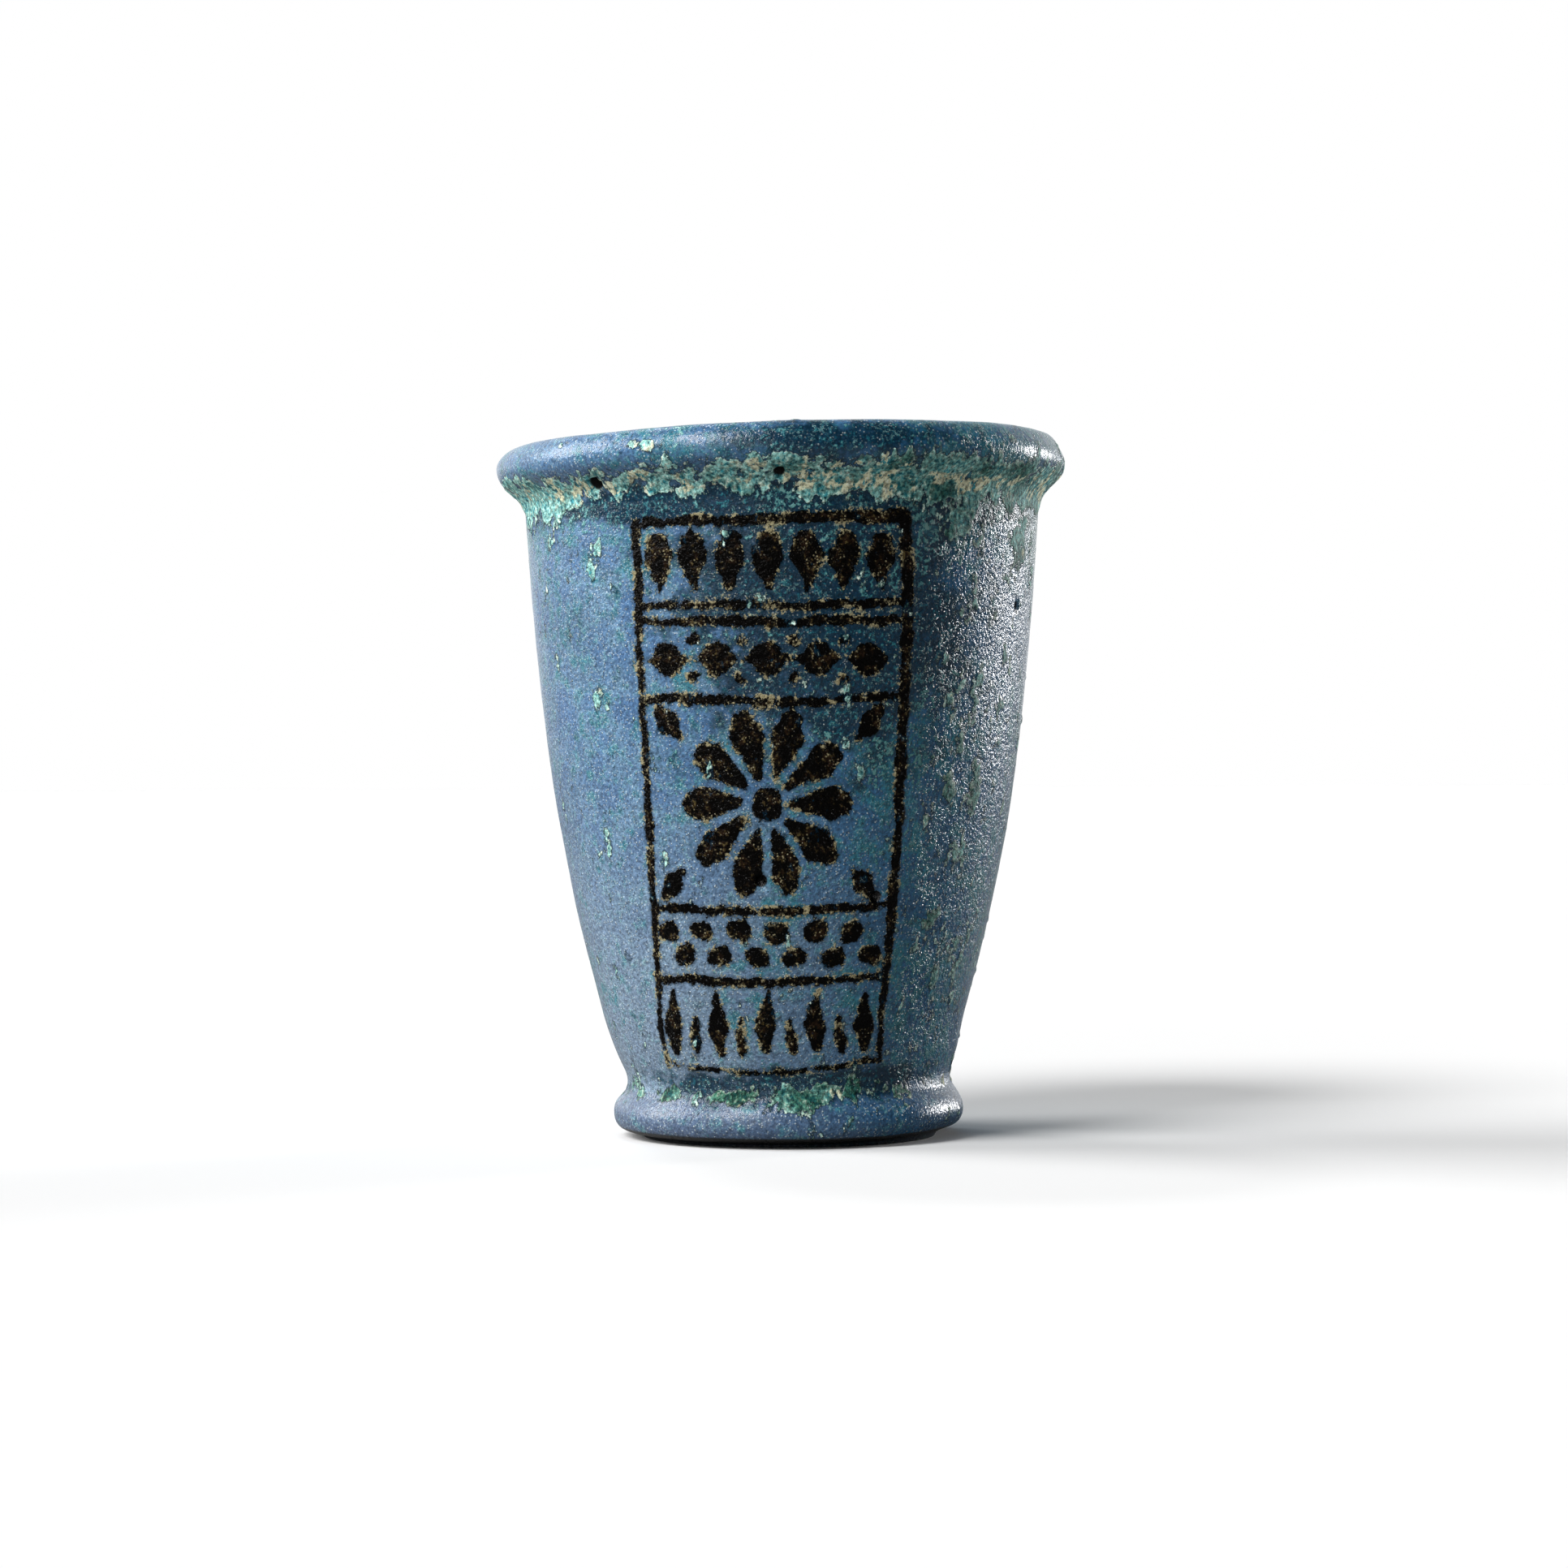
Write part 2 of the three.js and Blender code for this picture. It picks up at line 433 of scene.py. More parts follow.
@dataclass(frozen=True)
class PaintedPanel:
    """An upright frame on the front of the wall, filled with rows of petals, dabs and leaves.

    Places in it are millimetres to the right of its middle line, measured along the wall, and
    millimetres of height. The frame narrows towards the foot, and what it holds narrows with it.
    """

    top: float = 54.8
    bottom: float = 7.7
    bottom_sag: float = 0.8
    middle_top: float = -1.2
    middle_bottom: float = -1.65
    half_top: float = 12.2
    half_bottom: float = 10.15
    right_bow: float = 0.85  # how far the right line bends outwards halfway down
    rule_levels: tuple[float, ...] = (47.6, 46.2, 39.5, 21.3, 15.1)
    petal_count: int = 7
    petal_step: float = 3.35  # from one hanging petal to the next
    petal_levels: tuple[float, ...] = (52.8, 51.7, 48.9)
    petal_widths: tuple[float, ...] = (2.0, 2.8, 0.5)
    lozenge_count: int = 5
    lozenge_level: float = 42.9
    lozenge_step: float = 4.6
    lozenge_reach: float = 2.2
    lozenge_widths: tuple[float, ...] = (0.1, 2.9, 0.1)
    dots: tuple[tuple[float, float, float], ...] = ((44.5, 0.9, 1.0), (41.2, 1.0, 0.9))
    dab: float = 0.1  # how far the brush ran in a dot
    flower_level: float = 30.4
    flower_heart: float = 2.7
    flower_petals: int = 10
    flower_reaches: tuple[float, ...] = (2.5, 6.2, 7.2)
    flower_widths: tuple[float, ...] = (0.7, 3.0, 2.2)
    corner_reaches: tuple[float, ...] = (10.6, 9.6, 8.4)
    corner_widths: tuple[float, ...] = (0.9, 2.2, 0.5)
    corner_drop: float = 2.6
    check_count: int = 12
    check_level: float = 19.3
    check_drop: float = 2.2  # from the upper row to the lower
    check_step: float = 1.92
    check_reach: float = 0.35
    check_widths: tuple[float, float] = (1.7, 1.8)
    leaf_count: int = 9
    leaf_level: float = 8.9
    leaf_step: float = 2.6
    leaf_rises: tuple[float, ...] = (0, 1.9, 4.9)
    leaf_widths: tuple[float, ...] = (0.9, 2.3, 0.4)
    short_leaf: float = 0.55  # share of a tall one
    line: float = 0.85
    thin_line: float = 0.72
    wobble: float = 0.24  # how unsteady the brush was
    wobble_size: float = 3.4
    pressure: float = 0.2  # how much a stroke swells and thins on its way
    pressure_size: float = 1.3
    half_view: float = 62.0  # degrees to either side of the front within which the panel lies
    margins: tuple[float, float] = (4.0, 3.0)  # below and above the frame, where paint may stray
    clear: float = -3.0  # depth given to every place that is far from paint

    def border(self) -> list[BrushMark]:
        """Draws the four lines of the frame, heavier where the brush started.

        Returns:
            Their marks.
        """
        half, wide = self.half_top, self.line
        spots = [(-half, self.top), (-half - 0.1, 38), (-half + 0.15, 22), (-half, self.bottom)]
        left = stroke(spots, [wide * 1.2, wide * 0.85, wide * 1.05, wide * 0.6])
        outer, crown = half + self.right_bow, self.top + 0.4
        spots = [(half, crown), (outer, 44), (outer, 26), (outer - 0.2, 17), (half, self.bottom)]
        right = stroke(spots, [wide * 1.6, wide * 1.35, wide * 1.2, wide * 1.15, wide * 0.7])
        dip, crown_start = (-half * 0.3, self.top - 0.1), (half * 0.6, self.top + 0.2)
        spots = [(-half, self.top), dip, crown_start, (half, crown)]
        top = stroke(spots, [wide * 0.9, wide * 1.1, wide * 1.15, wide * 1.7])
        low = (0, self.bottom - 2 * self.bottom_sag)
        foot = bow((-half, self.bottom), low, (half, self.bottom), (wide * 0.4, wide * 0.3, wide * 0.65))
        return left + right + top + foot

    def rules(self) -> list[BrushMark]:
        """Draws the lines across the panel that part its rows.

        Returns:
            Their marks.
        """
        half, wide = self.half_top, self.thin_line
        marks = []
        for level in self.rule_levels:
            spots = [(-half, level), (half * 0.2, level - 0.25), (half, level + 0.1)]
            marks += stroke(spots, [wide, wide * 1.1, wide])
        return marks

    def petals(self) -> list[BrushMark]:
        """Draws a row of hanging petals under the top line, each round above and pointed below.

        Returns:
            Their marks.
        """
        marks, (high, middle, tip) = [], self.petal_levels
        for x in across(self.petal_count, self.petal_step):
            marks += stroke([(x, high), (x, middle), (x + self.dab, tip)], self.petal_widths)
        return marks

    def lozenges(self) -> list[BrushMark]:
        """Draws a row of solid lozenges with a dot above and below each gap.

        Returns:
            Their marks.
        """
        marks = []
        for x in across(self.lozenge_count, self.lozenge_step):
            spots = [(x + side * self.lozenge_reach, self.lozenge_level) for side in (-1, 0, 1)]
            marks += stroke(spots, self.lozenge_widths)
        for x in across(self.lozenge_count - 1, self.lozenge_step):
            marks += [BrushMark((x, level), (x + self.dab, level), *wide) for level, *wide in self.dots]
        return marks

    def rosette(self) -> list[BrushMark]:
        """Draws an open flower seen from above, and a leaf in each corner of its field.

        Returns:
            Their marks.
        """
        level = self.flower_level
        marks = [BrushMark((0, level), (2 * self.dab, level), self.flower_heart, self.flower_heart)]
        for i in range(self.flower_petals):
            turn = math.tau * (i + 0.5) / self.flower_petals
            side, rise = math.sin(turn), math.cos(turn)
            spots = [(reach * side, level + reach * rise) for reach in self.flower_reaches]
            marks += stroke(spots, self.flower_widths)
        for rise in (-1, 1):
            corner = [(reach, level + rise * (reach - self.corner_drop)) for reach in self.corner_reaches]
            marks += mirrored(stroke(corner, self.corner_widths))
        return marks

    def checks(self) -> list[BrushMark]:
        """Draws two staggered rows of short dabs.

        Returns:
            Their marks.
        """
        marks, reach = [], self.check_reach
        for i, x in enumerate(across(self.check_count, self.check_step)):
            level = self.check_level - self.check_drop * (i % 2)
            marks += [BrushMark((x - reach, level), (x + reach, level), *self.check_widths)]
        return marks

    def leaves(self) -> list[BrushMark]:
        """Draws solid standing leaves, a tall one and a short one by turns.

        Returns:
            Their marks.
        """
        marks, (low, middle, tip) = [], self.leaf_widths
        for i, x in enumerate(across(self.leaf_count, self.leaf_step)):
            share = self.short_leaf if i % 2 else 1
            spots = [(x, self.leaf_level + rise * share) for rise in self.leaf_rises]
            marks += stroke(spots, (low, middle * share, tip))
        return marks

    def depth(self, places: Places) -> np.ndarray:
        """Measures how far inside the paint each place lies.

        Args:
            places: points of the skin.

        Returns:
            The depth of each in millimetres, negative outside the paint.
        """
        out = np.full(len(places.at), self.clear)
        near = places.outside & (np.abs(places.angle) < self.half_view)
        below, above = self.margins
        near &= (places.height > self.bottom - below) & (places.height < self.top + above)
        at = places.at[near]
        drop = (self.top - places.height[near]) / (self.top - self.bottom)
        middle = self.middle_top + (self.middle_bottom - self.middle_top) * drop
        narrowing = 1 + (self.half_bottom / self.half_top - 1) * drop
        side = (places.radius * np.radians(places.angle))[near] - middle
        side = side / narrowing + self.wobble * fractal(at, self.wobble_size, 2, 11.3)
        up = places.height[near] + self.wobble * fractal(at, self.wobble_size, 2, 47.9)
        press = self.pressure * fractal(at, self.pressure_size, 2, 29.0)
        marks = self.border() + self.rules() + self.petals() + self.lozenges()
        marks += self.rosette() + self.checks() + self.leaves()
        best = np.full(len(at), self.clear)
        for mark in marks:
            best = np.maximum(best, mark.depth(side, up))
        out[near] = best + press
        return out


@dataclass(frozen=True)
class Patch:
    """A soft-edged spot on the cup's outside where something has grown or worn."""

    angle: float
    height: float
    across: float
    along: float
    strength: float

    def spread(self, places: Places) -> np.ndarray:
        """Spreads the patch over the skin.

        Args:
            places: points of the skin.

        Returns:
            Its strength at each, falling off to nothing round it.
        """
        side = np.radians(places.away_from(self.angle)) * np.maximum(places.radius, 1) / self.across
        rise = (places.height - self.height) / self.along
        return self.strength * np.exp(-(side**2 + rise**2))


@dataclass(frozen=True)
class Bubble:
    """A gas bubble that burst in the glaze and left a round hole."""

    angle: float
    height: float
    width: float

    def depth(self, places: Places) -> np.ndarray:
        """Measures how far inside the hole each place lies.

        Args:
            places: points of the skin.

        Returns:
            The depth of each in millimetres, negative outside the hole.
        """
        side = np.radians(places.away_from(self.angle)) * places.radius
        gap = np.hypot(side, places.height - self.height)
        middle = places.radius[np.argmin(np.where(places.outside, gap, np.inf))]
        return self.width / 2 - np.hypot(gap, places.radius - middle)


@dataclass(frozen=True)
class Weathering:
    """Burial's crust under the lip and at the waist, flakes, stains and holes, and painted shade under the
    lip and in the cove.
    """

    crust_patches: tuple[Patch, ...] = (
        Patch(-72, 57.0, 5.5, 1.9, 1.1),
        Patch(-58, 54.8, 3.4, 2.6, 0.9),
        Patch(-40.2, 55.5, 0.6, 0.5, 0.95),
        Patch(-44, 52.7, 0.9, 0.9, 1.05),
        Patch(-46, 50.9, 1.2, 0.7, 1.0),
        Patch(-40, 49.2, 0.9, 0.8, 1.0),
        Patch(-48, 46.7, 0.8, 0.6, 0.95),
        Patch(-67, 44.5, 0.8, 1.4, 0.85),
        Patch(-49, 42.8, 0.9, 0.8, 0.9),
        Patch(-47, 39.4, 1.5, 1.0, 0.9),
        Patch(-50, 27.4, 1.0, 2.4, 0.95),
        Patch(45, 55.2, 4.2, 2.6, 1.0),
        Patch(66, 54.6, 3.2, 3.4, 0.9),
        Patch(46, 32.3, 3.6, 9.0, 0.55),
        Patch(57, 40.0, 3.0, 12.0, 0.4),
        Patch(53, 17.0, 4.5, 8.0, 0.5),
        Patch(41, 46.5, 3.0, 6.0, 0.35),
        Patch(-26.8, 61.5, 1.8, 0.65, 1.6),
        Patch(4, 4.4, 5.4, 1.15, 1.2),
        Patch(-23, 4.7, 2.1, 0.8, 0.8),
        Patch(-42, 5.0, 0.8, 0.7, 0.9),
        Patch(-66, 5.6, 1.2, 1.6, 0.75),
        Patch(38, 4.8, 1.1, 0.8, 0.7),
        Patch(128, 22.8, 9.0, 11.0, 0.5),
        Patch(-150, 44.8, 8.0, 7.0, 0.45),
        Patch(175, 33.8, 5.0, 12.0, 0.4),
    )
    blooms: tuple[Patch, ...] = (
        Patch(16, 46, 12, 13, 0.7),
        Patch(0, 50, 12, 7, 0.3),
        Patch(14, 61.8, 13, 1.2, 0.35),
    )
    dents: tuple[Patch, ...] = (
        Patch(62, 0.9, 7.0, 0.9, -0.5),
        Patch(-92, 61.9, 9.0, 1.1, 0.4),
        Patch(78, 62.3, 8.0, 1.1, -0.2),
        Patch(-90, 3.4, 8.0, 0.9, 0.2),
    )
    bubbles: tuple[Bubble, ...] = (
        Bubble(-0.5, 58.8, 1.0),
        Bubble(-5.9, 23.7, 1.15),
        Bubble(24.8, 22.2, 1.1),
        Bubble(-42.2, 58.5, 1.3),
        Bubble(66.7, 48.0, 0.8),
        Bubble(-118, 30.8, 1.0),
        Bubble(160, 49.3, 1.1),
        Bubble(104, 13.4, 0.8),
    )
    lip_band_level: float = 58.4
    lip_band_width: float = 1.5
    waist_band_level: float = 4.9
    waist_band_width: float = 0.8
    speck_band_level: float = 55.3
    speck_band_width: float = 4.5
    lip_shade_and_stain_level: float = 56.3
    lip_shade_and_stain_width: float = 1.5
    cove_shade_and_stain_level: float = 5.6
    cove_shade_and_stain_width: float = 1.7
    lip_cream: Patch = Patch(-26.8, 61.6, 1.8, 0.8, 0.8)
    right_middle: float = 115.0  # degrees round the cup at the middle of its right side
    right_ends: tuple[float, float] = (165.0, 70.0)  # degrees from there: where it ends, where it is full
    flake_size: float = 1.5
    crust_height: float = 0.13
    hole_depth: float = 0.7
    paint_height: float = 0.02
    hand_relief: float = 0.09
    lump_relief: float = 0.02

    def rightness(self, places: Places) -> np.ndarray:
        """0 on the left of the front, rising to 1 on its right and over the back."""
        return smooth(np.abs(places.away_from(self.right_middle)), *self.right_ends)

    def crust(self, places: Places) -> np.ndarray:
        """Grows the raised crust in two ragged bands and in flakes.

        Args:
            places: points of the skin.

        Returns:
            A field that is above zero where the crust stands.
        """
        right = self.rightness(places)
        level = self.lip_band_level + 0.6 * fractal(places.at, 7, 2, 3.1)
        width = self.lip_band_width * (1 + 0.35 * right)
        band = bell(places.height, level, width, 4) * (1 - places.inward)
        waist = bell(places.height, self.waist_band_level, self.waist_band_width)
        field = -0.98 + 0.2 * right + (1.35 + 0.05 * right) * band + 0.5 * waist
        for patch in self.crust_patches:
            field = field + patch.spread(places)
        field = field + 1.15 * fractal(places.at, self.flake_size, 6, 20.7, 1.6)
        return np.clip(field - 0.6 * np.maximum(places.under, places.inward), -1.5, 1.5)

    def growth(self, places: Places) -> np.ndarray:
        """Sows the small specks, thicker to the right and near the lip.

        Args:
            places: points of the skin.

        Returns:
            How thickly they are sown, from 0 to 1.
        """
        cloud = fractal(places.at, 9, 2, 5.5)
        band = bell(places.height, self.speck_band_level, self.speck_band_width)
        sown = 0.05 + 0.3 * self.rightness(places) + 0.3 * band + 0.4 * cloud
        return np.clip(sown * (0.3 + 0.7 * smooth(places.height, 4, 9)), 0, 1)

    def cream(self, places: Places) -> np.ndarray:
        """Bleaches the lower half of the lip's band, and some of the waist's.

        Args:
            places: points of the skin.

        Returns:
            A field that is above zero where the crust has bleached.
        """
        under = bell(places.height, self.lip_band_level - 0.2, 1.3)
        waist = bell(places.height, self.waist_band_level, 0.9)
        field = -0.58 + 0.6 * under + 0.2 * waist + self.lip_cream.spread(places)
        return field + 0.85 * fractal(places.at, 1.8, 4, 33.3)

    def green(self, places: Places) -> np.ndarray:
        """Turns the crust green at the waist, and partly under the lip's right half.

        Args:
            places: points of the skin.

        Returns:
            The share of green, from 0 to 1.
        """
        waist = bell(places.height, self.waist_band_level, 2, 4)
        patchy = 0.55 * self.rightness(places) + 0.8 * fractal(places.at, 2.5, 3, 37.0)
        return np.clip(0.8 * waist + patchy - 0.15, 0, 1)

    def stain(self, places: Places) -> np.ndarray:
        """Spreads the dark teal bloom on the lip and the panel's right half, and bands of stains and painted
        shade.

        Args:
            places: points of the skin.

        Returns:
            The depth of the stains and painted shade, from 0 to 1.
        """
        front = smooth(np.abs(places.angle - 5), 62, 30)
        bloom = sum(patch.spread(places) for patch in self.blooms) + 0.25 * fractal(places.at, 3, 3, 61.0)
        # painted shade: bands under the lip's overhang and in the cove, partly stains, strongest at the
        # front
        bands = bell(places.height, self.lip_shade_and_stain_level, self.lip_shade_and_stain_width, 4)
        bands = bands + 0.55 * bell(places.height, self.cove_shade_and_stain_level, self.cove_shade_and_stain_width, 4)
        return np.clip(bands * (0.25 + 0.75 * front) + bloom, 0, 1)

    def hole(self, places: Places) -> np.ndarray:
        """How far inside a burst bubble each place lies, in millimetres."""
        found = np.max([bubble.depth(places) for bubble in self.bubbles], axis=0)
        return np.where(places.outside, np.maximum(found, -1.5), -1.5)

    def bare(self, places: Places) -> np.ndarray:
        """Lays the paste bare: all of the underside, and patches inside the cup.

        Args:
            places: points of the skin.

        Returns:
            The share of bare paste, from 0 to 1.
        """
        depth = smooth(places.height, 60, 20)
        patchy = np.clip(0.25 + 0.55 * depth + 0.5 * fractal(places.at, 5, 4, 71.0), 0, 1)
        return np.clip(patchy * places.inward + places.under, 0, 1)

    def fields(self, places: Places, paint: np.ndarray) -> dict[Field, np.ndarray]:
        """Works out every measure that the glaze material reads.

        Args:
            places: points of the skin.
            paint: how far inside the paint each lies.

        Returns:
            The values of each measure.
        """
        return {
            Field.INK: paint,
            Field.CRUST: self.crust(places),
            Field.GROWTH: self.growth(places),
            Field.CREAM: self.cream(places),
            Field.STAIN: self.stain(places) * (1 - places.inward),
            Field.PIT: self.hole(places),
            Field.BARE: self.bare(places),
            Field.DEEP: self.rightness(places),
            Field.GREEN: self.green(places),
        }

    def relief(self, places: Places, fields: dict[Field, np.ndarray]) -> np.ndarray:
        """Raises and sinks the skin: hand unevenness, crust, paint, dents and holes.

        Args:
            places: points of the skin.
            fields: their measures.

        Returns:
            How far each stands out of the true turned form, in millimetres.
        """
        hand = self.hand_relief * fractal(places.at, 15, 2, 81.0)
        lumps = self.lump_relief * fractal(places.at, 2.2, 3, 91.0)
        crust = self.crust_height * smooth(fields[Field.CRUST], -0.05, 0.25)
        crust = crust * (0.75 + 0.6 * fractal(places.at, 0.7, 2, 14.0))
        paint = self.paint_height * smooth(fields[Field.INK], -0.1, 0.2)
        hole = self.hole_depth * smooth(fields[Field.PIT], -0.15, 0.35)
        standing = smooth(places.height, 0.0, 0.8)  # the ring that touches the table stays flat
        dents = sum(dent.spread(places) for dent in self.dents)
        return (hand + lumps + crust + paint + dents) * standing - hole


def read(items: bpy.types.bpy_prop_collection, name: str, width: int = 1, kind: type = float) -> np.ndarray:
    """Reads one property of every item of a mesh.

    Args:
        items: its vertices, loops, faces or attribute values.
        name: the property.
        width: how many numbers it has.
        kind: their type.

    Returns:
        The numbers, in rows where there is more than one for each item.
    """
    values = np.empty(len(items) * width, kind)
    items.foreach_get(name, values)
    return values.reshape(-1, width) if width > 1 else values


def put(name: str, data: bpy.types.ID) -> bpy.types.Object:
    """Adds an object to the scene.

    Args:
        name: its name.
        data: the mesh, lamp or lens that it holds.

    Returns:
        The object, at the origin.
    """
    made = bpy.data.objects.new(name, data)
    bpy.context.scene.collection.objects.link(made)
    return made


@dataclass(frozen=True)
class TurnedPiece:
    """One piece of the cup: which stretches of the skin it wears, and what it stands for."""

    name: str
    node: str
    slot: str
    outer: tuple[str, str]
    inner: tuple[str, str] | None = None
    start_level: float | None = None  # where it starts on the axis, if not with its outer stretch
    end_level: float | None = None  # where it ends on the axis, if not with its last stretch
    hidden_width: float = 0.5  # of a seat's strip in the map, in mm

    def outline(self, skin: Skin) -> list[int]:
        """Numbers of the skin's points that it wears, outer stretch first."""
        return [row for span in (self.outer, self.inner) if span for row in skin.rows(*span)]

    def is_ring(self, skin: Skin) -> bool:
        """True if its outline closes on itself without touching the axis."""
        levels = (self.start_level, self.end_level)
        return levels == (None, None) and all(skin.points[self.outline(skin)][:, 0] > 0)

    def spin(self, skin: Skin) -> bmesh.types.BMesh:
        """Spins the outline round the axis into a closed shell.

        Args:
            skin: the half section that all the pieces share.

        Returns:
            The shell, its points marked with their row in the skin, below 0 where they have none.
        """
        shell = bmesh.new()
        row_of = shell.verts.layers.int.new("row")
        ring = []
        rows = self.outline(skin)
        spots = [(*skin.points[row], row) for row in rows]
        if self.start_level is not None:
            spots.insert(0, (0, self.start_level, -1))
        if self.end_level is not None:
            spots.append((0, self.end_level, -2))
        for radius, level, row in spots:
            vert = shell.verts.new((0, radius, level))
            vert[row_of] = row
            ring.append(vert)
        pairs = list(zip(ring, ring[1:])) + ([(ring[-1], ring[0])] if self.is_ring(skin) else [])
        edges = [shell.edges.new(pair) for pair in pairs]
        bmesh.ops.spin(
            shell,
            geom=ring + edges,
            cent=(0, 0, 0),
            axis=(0, 0, 1),
            dvec=(0, 0, 0),
            angle=math.tau,
            steps=SPIN_STEPS,
            use_merge=True,
            use_normal_flip=False,
            use_duplicate=False,
        )
        bmesh.ops.remove_doubles(shell, verts=shell.verts, dist=SAME_PLACE)
        bmesh.ops.recalc_face_normals(shell, faces=shell.faces)
        return shell

    def build(self, form: CupForm, skin: Skin, panel: PaintedPanel, weather: Weathering) -> bpy.types.Object:
        """Spins the piece, raises its relief, and stores what its glaze needs to know.

        Args:
            form: the cup's sizes.
            skin: the half section that all the pieces share.
            panel: the painting on the wall.
            weather: what burial did to the glaze.

        Returns:
            The finished object, without a material.
        """
        shell = self.spin(skin)
        for face in shell.faces:
            level = face.calc_center_median().z
            flat = abs(face.normal.z) > LEVEL
            face.smooth = not (flat and any(abs(level - seat) < SAME_PLACE for seat in form.seats))
        mesh = bpy.data.meshes.new(self.name)
        shell.to_mesh(mesh)
        shell.free()
        at = read(mesh.vertices, "co", 3)
        rows = read(mesh.attributes["row"].data, "value", kind=np.int32)
        mesh.attributes.remove(mesh.attributes["row"])
        places = self.places(at, rows, skin)
        fields = weather.fields(places, panel.depth(places))
        raised = at + places.normal * weather.relief(places, fields)[:, None]
        final = form.settle(raised) * METRES
        mesh.vertices.foreach_set("co", final.ravel())
        for field, values in fields.items():
            layer = mesh.attributes.new(field.value, "FLOAT", "POINT")
            layer.data.foreach_set("value", values.astype(np.float32))
        self.lay_flat(mesh, at, rows, skin)
        mesh.update()
        return put(self.name, mesh)

    def places(self, at: np.ndarray, rows: np.ndarray, skin: Skin) -> Places:
        """Gives each point its way out of the paste, none on the axis of a seat.

        Args:
            at: the piece's points before the relief.
            rows: their rows in the skin.
            skin: the half section that all the pieces share.

        Returns:
            The points as the painter and the weather see them.
        """
        normals = np.where((rows >= 0)[:, None], skin.normals[rows], 0)
        radius = np.maximum(np.hypot(at[:, 0], at[:, 1]), 1e-6)
        flat = normals[:, :1] * at[:, :2] / radius[:, None]
        out = np.column_stack([flat, normals[:, 1]])
        toe, crest = skin.runs[skin.spans["toe"][0]], skin.runs[skin.spans["brow"][1]]
        run = skin.runs[rows]
        return Places(at, out, smooth(run, crest + 1, crest + 7), 1 - smooth(run, toe - 0.5, toe + 0.7))

    def lay_flat(self, mesh: bpy.types.Mesh, at: np.ndarray, rows: np.ndarray, skin: Skin) -> None:
        """Gives the piece a map: round the cup from left to right, along its outline upwards.

        Args:
            mesh: the spun mesh.
            at: its points before the relief.
            rows: their rows in the skin.
            skin: the half section that all the pieces share.
        """
        order = self.outline(skin)
        ring = self.is_ring(skin)
        steps = np.where(np.diff(order) == 1, np.diff(skin.runs[order]), self.hidden_width)
        head = self.hidden_width if self.start_level is not None else 0
        tail = self.hidden_width if self.end_level is not None or ring else 0
        heights = np.concatenate([[0], np.cumsum(steps)]) + head
        up_of = dict(zip(order, heights / (heights[-1] + tail)))
        up_of.update({-1: 0.0, -2: 1.0})
        up = np.array([up_of[row] for row in rows.tolist()])
        turn = np.arctan2(at[:, 0], -at[:, 1]) / math.tau + 0.5
        on_axis = np.hypot(at[:, 0], at[:, 1]) < SAME_PLACE
        layer = mesh.uv_layers.new(name="OFBake")
        places = np.empty(len(mesh.loops) * 2, np.float32).reshape(-1, 2)
        for face in mesh.polygons:
            loops = list(face.loop_indices)
            verts = [mesh.loops[i].vertex_index for i in loops]
            turns = [turn[v] for v in verts if not on_axis[v]]
            wraps = max(turns) - min(turns) > 0.5
            middle = sum(t + (wraps and t < 0.5) for t in turns) / len(turns)
            ups = [up[v] for v in verts]
            closes = ring and max(ups) - min(ups) > 0.5
            for i, v in zip(loops, verts):
                across = middle if on_axis[v] else turn[v] + (wraps and turn[v] < 0.5)
                places[i] = (across, up[v] + (closes and up[v] < 0.5))
        layer.data.foreach_set("uv", places.ravel())


def linear(code: str) -> tuple[float, float, float, float]:
    """Turns an sRGB hex colour into the linear one that a shader takes.

    Args:
        code: the colour as # and six digits.

    Returns:
        Red, green, blue and a full alpha.
    """
    parts = [int(code[i : i + 2], 16) / 255 for i in (1, 3, 5)]
    curve = [p / 12.92 if p <= 0.04045 else ((p + 0.055) / 1.055) ** 2.4 for p in parts]
    return (*curve, 1.0)


def add_node(
    tree: bpy.types.NodeTree,
    kind: str,
    settings: dict[str, object] | None = None,
    inputs: dict[int | str, object] | None = None,
    output: int | str = 0,
) -> Tone:
    """Adds a node with its settings, values and links.

    Args:
        tree: the tree that it goes into.
        kind: Blender's name for the node.
        settings: its properties.
        inputs: for each socket a value, a hex colour, or the tone that feeds it.
        output: which of its outputs to hand back.

    Returns:
        The tone of that output.
    """
    node = tree.nodes.new(kind)
    for name, value in (settings or {}).items():
        setattr(node, name, value)
    for name, value in (inputs or {}).items():
        if isinstance(value, Tone):
            tree.links.new(value, node.inputs[name])
        else:
            node.inputs[name].default_value = linear(value) if isinstance(value, str) else value
    return node.outputs[output] if node.outputs else node.inputs[0]


